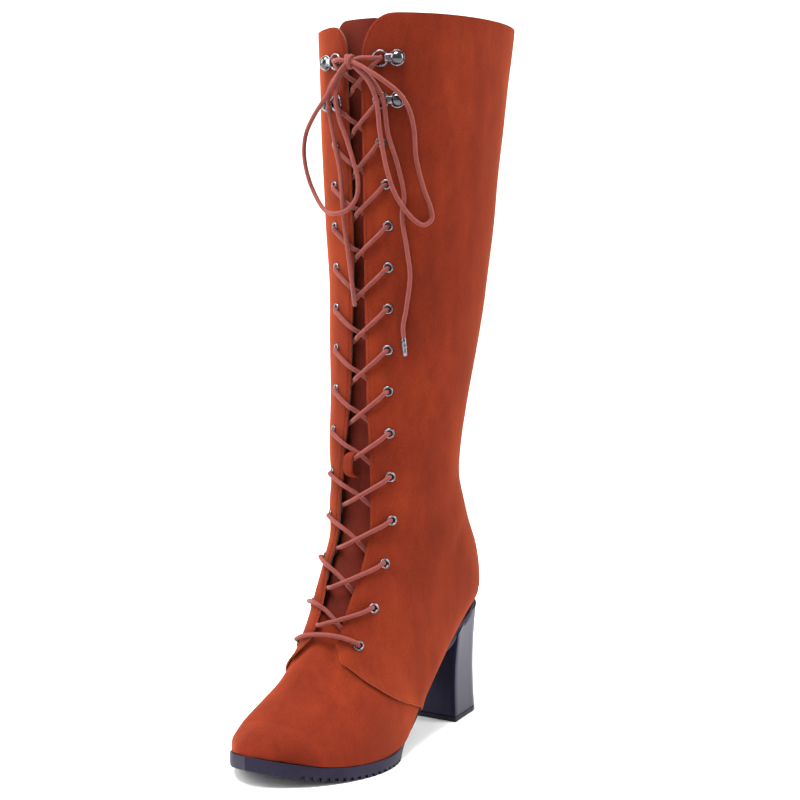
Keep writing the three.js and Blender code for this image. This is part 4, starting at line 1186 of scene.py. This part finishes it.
# The bow, as places on the boot: height, across and lift in millimetres
bow = {
    "knot": (396, 1.5, 6.5),
    "innerLoop": [
        (396, 1.5, 7.5), (391.5, -1.5, 9.5), (385, -5.5, 9.8), (378.5, -10, 10), (366.5, -22, 10.8),
        (357, -30, 12), (347, -32.5, 12.5), (336, -31.5, 11.5), (325, -28.5, 9), (314, -19, 7.4),
        (311, -9, 8.9), (313, -1, 8), (320, 3.6, 6.6), (330, 4.4, 6.2), (340, 2.2, 6.2), (352, -1, 6.4),
        (366, -5.5, 7), (378, -6.5, 7.4), (388, -3.5, 7.4), (395, 0.5, 6.5),
    ],
    "outerLoop": [
        (396, 3, 7.5), (393.3, 8, 8.6), (388.5, 14.8, 9.5), (384.6, 19.5, 9), (377.6, 26.9, 7.5),
        (368.9, 31.8, 6), (357.9, 34.4, 4), (342.4, 35.3, 2.8), (326.2, 38.8, 2.6), (313.3, 43.2, 2.6),
        (307.6, 43.7, 2.6), (304.2, 38.9, 2.8), (307, 33.3, 4), (315.9, 26.5, 5.6), (324.3, 22.6, 6.1),
        (337.2, 19.5, 6.6), (355.7, 17, 6.8), (374.4, 15.5, 7.1), (385, 11.5, 7.1), (391.5, 6, 7),
        (395, 2, 6.5),
    ],
    "outerEnd": [
        (395, 3, 5.5), (391.9, 7.6, 5.2), (388, 11, 4.9), (384, 14.1, 4.6), (374.6, 18.6, 4.2),
        (355.7, 20.6, 3.4), (337.3, 25.4, 2.8), (320.5, 28.3, 2.3), (309.2, 27, 2.3), (289.9, 29.4, 2.3),
        (275.7, 30.9, 2.3), (255.8, 28.7, 2.3), (246.1, 27.1, 2.3), (240, 27.5, 2.3),
    ],
    "innerEnd": [
        (395, 0.5, 5.5), (391.4, -4, 5.4), (388, -8, 5.4), (383, -12.5, 5.4), (374, -14.8, 5.2),
        (366.8, -13.8, 5), (347.9, -10.6, 4.2), (333.5, -7.8, 4.2), (306.7, -5.7, 4.6), (291.1, -3.6, 4.6),
        (279, -2, 4.6), (268, -0.5, 4.6),
    ],
    "tipLength": 11, "tipDiameter": 2.9,
}


def bowPoints(places):
    return [onSkin(stationAtHeight(height), across, lift) for height, across, lift in places]


def pathLength(path):
    return float(pathRuns(path)[-1])


def layLace(places, node):
    piece, path = makeTube(node.replace("bow", "laced_bow"), bowPoints(bow[places]), spacing=1.4)
    return dressed(piece, "lace", node), path


def makeBow():
    for name, node in (("innerLoop", "bow_loop_inner"), ("outerLoop", "bow_loop_outer")):
        piece, path = layLace(name, node)
        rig.cord(piece, exit=path[0], length=pathLength(path), diameter=cordLook["diameter"] * mm,
                far_end="object", stiffness="limp", lay="hanging", path=path)
    for name, node, tip in (("innerEnd", "bow_end_inner", "aglet_inner"),
                            ("outerEnd", "bow_end_outer", "aglet_outer")):
        piece, path = layLace(name, node)
        step = (path[-1] - path[-2]).normalized()
        start = path[-1] / mm - step * 0.4
        tipPoints = [start + step * bow["tipLength"] * share for share in (0, 0.33, 0.66, 1)]
        tipName = tip.replace("aglet", "dark_lace_tip")
        tipPiece, _ = makeTube(tipName, tipPoints, bow["tipDiameter"], 1.5, 0.75)
        dressed(tipPiece, "metal" if name == "outerEnd" else "tipFilm", tip)
        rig.cord(piece, exit=path[0], length=pathLength(path), diameter=cordLook["diameter"] * mm,
                far_end="fitting", stiffness="limp", lay="hanging", path=path, with_pieces=[tipPiece])


def makeKnot():
    height, across, lift = bow["knot"]
    centre = Vector(onSkin(stationAtHeight(height), across, lift))
    top = stationUp(rowUp(facing["eyelets"] + 1))
    parts = []
    for side in (1, -1):
        ring = ringAcross(side, top)
        places = [(ring + side * 1.0, 1.8), (ring - side * 1.2, 2.6),
                  (ring - side * (holder["ring"] + 0.4), 5.0), (ring * 0.45, 6.4)]
        points = [onSkin(top, across, lift) for across, lift in places] + [centre]
        parts.append(makeTube("knotArm", points)[0])
    for tilt, size in ((-14, 3.3), (16, 3.1)):  # two turns of lace round the middle
        spin = Matrix.Rotation(math.radians(tilt), 3, "Y")
        turns = []
        for k in range(15):
            angle = 2 * math.pi * k / 14
            turns.append(centre + spin @ Vector((0.9 * math.sin(angle * 0.5) + tilt * 0.03,
                                                 size * 0.85 * math.sin(angle), size * math.cos(angle))))
        parts.append(makeTube("knotTurn", turns)[0])
    dressed(smoothed(joined(parts, "bow_knot_turns"), 60), "lace", "bow_knot")


makeBow()
makeKnot()
print("bow tied")

# The keeper: a suede loop on the tongue, which the lace passes through
keeper = {"length": 13.5, "width": 5.4, "wall": 1.3, "rise": 2.6, "row": 5, "aboveRow": 4.0, "across": -2.4}


def makeKeeper():
    level = rowUp(keeper["row"] - 1) + keeper["aboveRow"]

    def place(width, along):
        share, beside = along * 2 - 1, width * 2 - 1
        up = keeper["length"] / 2 * share * (1 - 0.12 * (1 - abs(share)) ** 2)
        lift = (tongue["depth"] + keeper["rise"]) * (1 - abs(share) ** 6) - tongue["depth"] - 0.35 * beside**2
        return onSkin(stationUp(level + up), keeper["across"] - beside / 2 * keeper["width"] + 1e-6, lift)

    return walled(laidGrid("suede_lace_keeper", 6, 22, place), keeper["wall"], 0.3)


dressed(makeKeeper(), "suede", "lace_keeper")


# Stitches: one short raised thread, copied along the seams
stitchLook = {"length": 2.1, "width": 0.42, "pitch": 3.0}


def stitchAlong(name, placeAt, length):
    vertices, faces = [], []
    for k in range(int(length / stitchLook["pitch"])):
        ends = [Vector(placeAt((k * stitchLook["pitch"] + 0.2 + stitchLook["length"] * share) / length))
                for share in (0, 0.5, 1)]
        along = (ends[2] - ends[0]).normalized()
        side = along.cross(Vector((0, 0, 1)) if abs(along.z) < 0.9 else Vector((0, 1, 0))).normalized()
        other = along.cross(side)
        faces += ringFaces(3, 6, len(vertices))
        for point, wide in zip(ends, (0.6, 1.0, 0.6)):
            for j in range(6):
                angle = math.pi * j / 3
                ray = (side * math.cos(angle) + other * math.sin(angle)) * stitchLook["width"] / 2 * wide
                vertices.append((point + ray) * mm)
    return dressed(smoothed(meshPiece(name, vertices, faces), 60), "thread")


def onFacing(side, length, fromEdge):
    station = stationUp(length)
    return lifted(station, side * (facingEdge(station, side) + fromEdge), 0.02)


def onShortSeam(side, share):
    station, across = shortSeamAt(share)
    return lifted(station, side * across, -0.24)


def onSeam(side, share, fromSeam):
    aside, step = 0.02 + 0.93 * share, 0.02
    start = float(seamStations[side](aside))
    near, far = [lifted(s, acrossAt(side, s, aside), 0.02) for s in (start, start + step)]
    station = start + fromSeam / np.linalg.norm(far - near) * step
    return lifted(station, acrossAt(side, station, aside), 0.02)


for side, word in ((1, "outer"), (-1, "inner")):
    low, high = 4.0, frontLength - facingTops[side][2] - 2.5
    span = high - low
    stitchAlong(f"facing_edge_stitches_{word}", lambda t: onFacing(side, low + span * t, 1.9), span)
    stitchAlong(f"short_seam_stitches_{word}", lambda t: onShortSeam(side, t), 12)
    stitchAlong(f"vamp_seam_stitches_{word}", lambda t: onSeam(side, t, 1.6), 108)
print("stitches sewn")


# The outsole: rubber unit from the toe to the heel seat, with notches round the lower edge
sole = {"sides": 150, "edge": 0.5, "bulge": 0.25, "margin": 2.6, "undercut": 5.5, "waistFrom": -0.56,
        "waistTo": -0.13, "notchPitch": 4.8, "notch": (2.0, 2.5, 2.0), "notchFrom": 0.45, "notchTo": 0.93}


def soleUnder(y):
    share = np.clip((y + last["toeReach"] * 0.5) / (last["toeReach"] * 0.35), 0, 1)
    thinner = (last["soleThickness"] - last["seatThickness"]) * share
    return np.maximum(0, soleTop(y) - last["soleThickness"] + thinner)


def outsoleRing(y):
    top, low = float(soleTop(y)), float(soleUnder(y))
    outer, inner = float(outlineAt[1](y)), float(outlineAt[-1](y))
    centre, wide = (outer + inner) / 2, (outer - inner) / 2
    edge, margin = min(sole["edge"], wide * 0.5, (top - low) * 0.3), sole["margin"]
    # at the waist the wall slopes in under the foot
    along = y / last["toeReach"]
    waist = np.clip((along - sole["waistFrom"]) / 0.14, 0, 1) * np.clip((sole["waistTo"] - along) / 0.06, 0, 1)
    under = min(sole["undercut"], wide * 0.4) * waist
    profile = [(wide - margin, top), (wide - edge, top), (wide - edge * 0.3, top - edge * 0.3)]
    profile.append((wide, top - edge))
    for share in (0.25, 0.5, 0.75):
        bulge = sole["bulge"] * math.sin(math.pi * share) - under * share
        profile.append((wide + bulge, top - edge + (low + 2 * edge - top) * share))
    foot = wide - under
    profile += [(foot, low + edge), (foot - edge * 0.3, low + edge * 0.3), (foot - edge, low)]
    across = np.linspace(1, -1, 9)[1:-1]
    ring = [(centre + max(0, x), y, z) for x, z in profile]
    ring += [(centre + (foot - edge) * share, y, low) for share in across]
    ring += [(centre - max(0, x), y, z) for x, z in reversed(profile)]
    return ring + [(centre + max(0, wide - margin) * share, y, top) for share in reversed(across)]


def ringBody(name, rings):  # a closed body through rings of points in millimetres
    vertices = [Vector(point) * mm for ring in rings for point in ring]
    piece = mergedDoubles(meshPiece(name, vertices, ringFaces(len(rings), len(rings[0]))), 0.01)
    return inEditMode(piece, bpy.ops.mesh.normals_make_consistent, inside=False)


def makeOutsole():
    middle, half = (last["heelReach"] - last["toeReach"]) / 2, (last["heelReach"] + last["toeReach"]) / 2
    turns = np.linspace(0, math.pi, sole["sides"] + 1)
    rings = [outsoleRing(middle - half * math.cos(turn) * 0.9995) for turn in turns]
    return cutNotches(ringBody("moulded_outsole", rings))


def cutNotches(piece):
    path = []
    for side in (1, -1):
        ys = [-last["toeReach"] * s for s in np.linspace(sole["notchFrom"], 0.9995, 200)]
        path += [Vector((float(outlineAt[side](y)), y, 0)) for y in ys][::side][0 if side > 0 else 1:]
    runs = pathRuns(path)
    cutters = []
    wide, deep, high = [size * mm for size in sole["notch"]]
    for mark in np.arange(1.0, runs[-1] - 1, sole["notchPitch"]):
        here, ahead = pointAt(path, runs, mark), pointAt(path, runs, mark + 0.5)
        if -here.y > sole["notchTo"] * last["toeReach"]:
            continue
        turn = Matrix.Rotation(math.atan2(ahead.y - here.y, ahead.x - here.x), 4, "Z")
        size = Matrix.Diagonal((wide, deep * 2, high * 2, 1))
        here.z = float(soleUnder(here.y))
        box = added(bpy.ops.mesh.primitive_cube_add, size=1)
        box.data.transform(Matrix.Translation(here * mm) @ turn @ size)
        cutters.append(box)
    return smoothed(carved(piece, cutters), 35)


dressed(makeOutsole(), "soleRubber", "outsole")
print("sole moulded")

# The heel block: flat in front, rounded behind, drawn in a little at half height
heelSizes = {"breast": -24.5, "lean": 4.0, "breastWidth": 58, "width": 52, "back": 18.5, "hollow": 1.2,
             "lift": 3.0, "cover": 2.8, "flare": 0.7}


def heelOutline(z, inset=0.0):
    share = z / seatZ
    hollow = heelSizes["hollow"] * math.sin(math.pi * min(1, share)) - heelSizes["flare"] * share**4
    front = heelSizes["breast"] + heelSizes["lean"] * share + inset
    wide = heelSizes["breastWidth"] / 2 - 1.2 * share - hollow - inset
    side = heelSizes["width"] / 2 - hollow - inset
    back = heelSizes["back"] + 1.5 * share - hollow - inset
    half = [(wide * s, front) for s in (0, 0.3, 0.6, 0.85)]
    half += [(wide - 1.2, front), (wide - 0.3, front + 0.3), (wide, front + 1.2)]
    half += [(wide + (side - wide) * t, front * (1 - t)) for t in (0.2, 0.4, 0.6, 0.8)]
    for angle in np.linspace(0, math.pi / 2, 17):
        half.append((side * max(0, math.cos(angle)) ** 0.85, back * math.sin(angle)))
    return half + [(-x, y) for x, y in reversed(half[1:-1])]


def heelBody(name, levels, capTop):
    rings, lowest = [], levels[0][0]
    for z, inset in levels:
        ring = []
        for x, y in heelOutline(z, inset):
            rise = 0.0
            if capTop:  # the block closes round the edge of the sole's seat
                rise = (float(soleUnder(y)) + heelSizes["cover"] - seatZ) * (z - lowest) / (seatZ - lowest)
            ring.append((x, y, z + rise))
        rings.append(ring)
    return smoothed(ringBody(name, rings), 30)


lowest = heelSizes["lift"] + last["clearance"]
heelLevels = [(lowest, 0.35), (lowest + 0.35, 0.0)]
heelLevels += [(float(z), 0.0) for z in np.linspace(lowest + 4, seatZ, 18)]
dressed(heelBody("block_heel", heelLevels, True), "heel", "heel_block")
liftLevels = [(0.0, 0.4), (0.4, 0.0), (heelSizes["lift"] - 0.3, 0.0), (heelSizes["lift"], 0.25)]
dressed(heelBody("rubber_top_lift", liftLevels, False), "liftRubber", "top_lift")
print("heel built")

# The insole board keeps its own shape
insole = frame["nodes"]["insole"]
insole.data.materials.clear()
insole.data.materials.append(looks["lining"])


# Floor, light and camera
def makeFloor():
    floor = added(bpy.ops.mesh.primitive_grid_add, x_subdivisions=2, y_subdivisions=40, size=1)
    named(floor, "studio_floor")
    bendFrom, bend, wall = 1.6, 1.4, 3.0  # metres behind the boot, and the bend's own reach
    for vertex in floor.data.vertices:  # a sweep that rises behind the boot
        run = (vertex.co.y + 0.5) * 7 - 3
        rise = 0.0 if run < bendFrom else (1 - math.cos(min(1, (run - bendFrom) / bend) * math.pi / 2)) * bend
        vertex.co = Vector((vertex.co.x * 12, min(run, wall), rise + max(0, run - wall) * 3))
    floor.data.transform(Matrix.Rotation(math.radians(studio["turn"]), 4, "Z"))
    smoothed(floor, 80)
    paint = linear(studio["floor"])
    material, shader = newMaterial("paintedStudioFloor", Roughness=0.8, Base_Color=paint, Emission_Color=paint)
    height = addNode(material, "SeparateXYZ", links={"Vector": onObject(material)}).outputs["Z"]
    values = {"From Max": 0.3, "To Max": studio["floorGlow"]}  # it glows only where it rises
    glow = addNode(material, "MapRange", values, {"Value": height}).outputs[0]
    material.node_tree.links.new(glow, shader.inputs["Emission Strength"])
    floor.data.materials.append(material)
    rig.stage(floor)


def addLight(name, place, aim, size, power):
    light = bpy.data.lights.new(name, "AREA")
    light.shape = "RECTANGLE"
    light.size, light.size_y = size
    light.energy = power
    lamp = bpy.data.objects.new(name, light)
    lamp.location = place
    lamp.rotation_euler = (Vector(aim) - Vector(place)).to_track_quat("-Z", "Y").to_euler()
    bpy.context.scene.collection.objects.link(lamp)


makeFloor()
world = bpy.data.worlds.new("softWhite")
bpy.context.scene.world = world
world.use_nodes = True
background = world.node_tree.nodes["Background"]
background.inputs["Color"].default_value = (1, 1, 1, 1)
# the sky is dimmer on the side that the boot's front faces
direction = addNode(world, "TexCoord").outputs["Generated"]
frontward = addNode(world, "VectorMath", {1: (0.53, -0.85, 0.0)}, {0: direction}, operation="DOT_PRODUCT")
skyValues = {"From Min": -0.6, "From Max": 0.9, "To Min": 1.2, "To Max": 0.55}
sky = addNode(world, "MapRange", skyValues, {"Value": frontward.outputs["Value"]})
world.node_tree.links.new(sky.outputs[0], background.inputs["Strength"])
addLight("softLeft", (-1.5, -1.0, 1.0), (0, -0.05, 0.15), (1.0, 1.4), 34)
addLight("softRight", (1.4, 0.75, 0.9), (0, -0.05, 0.2), (0.9, 1.4), 34)
addLight("softTop", (-0.1, -0.7, 1.8), (0, -0.14, 0.05), (1.0, 1.0), 72)
bpy.context.scene.view_settings.view_transform = "Standard"

camera = bpy.data.objects.new("camera", bpy.data.cameras.new("camera"))
bpy.context.scene.collection.objects.link(camera)
camera.data.lens = studio["lens"]
camera.data.sensor_width = 36
camera.location = studio["camera"]
turn, pitch = math.radians(studio["turn"]), math.radians(studio["pitch"])
forward = Vector((-math.sin(turn) * math.cos(pitch), math.cos(turn) * math.cos(pitch), -math.sin(pitch)))
camera.rotation_euler = forward.to_track_quat("-Z", "Y").to_euler()
bpy.context.scene.camera = camera
deselectAll()

with open("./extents.json", "w") as out:
    json.dump({"cad": cadBox, "scene": [list(corner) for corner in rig.bounds()]}, out)
print("done")
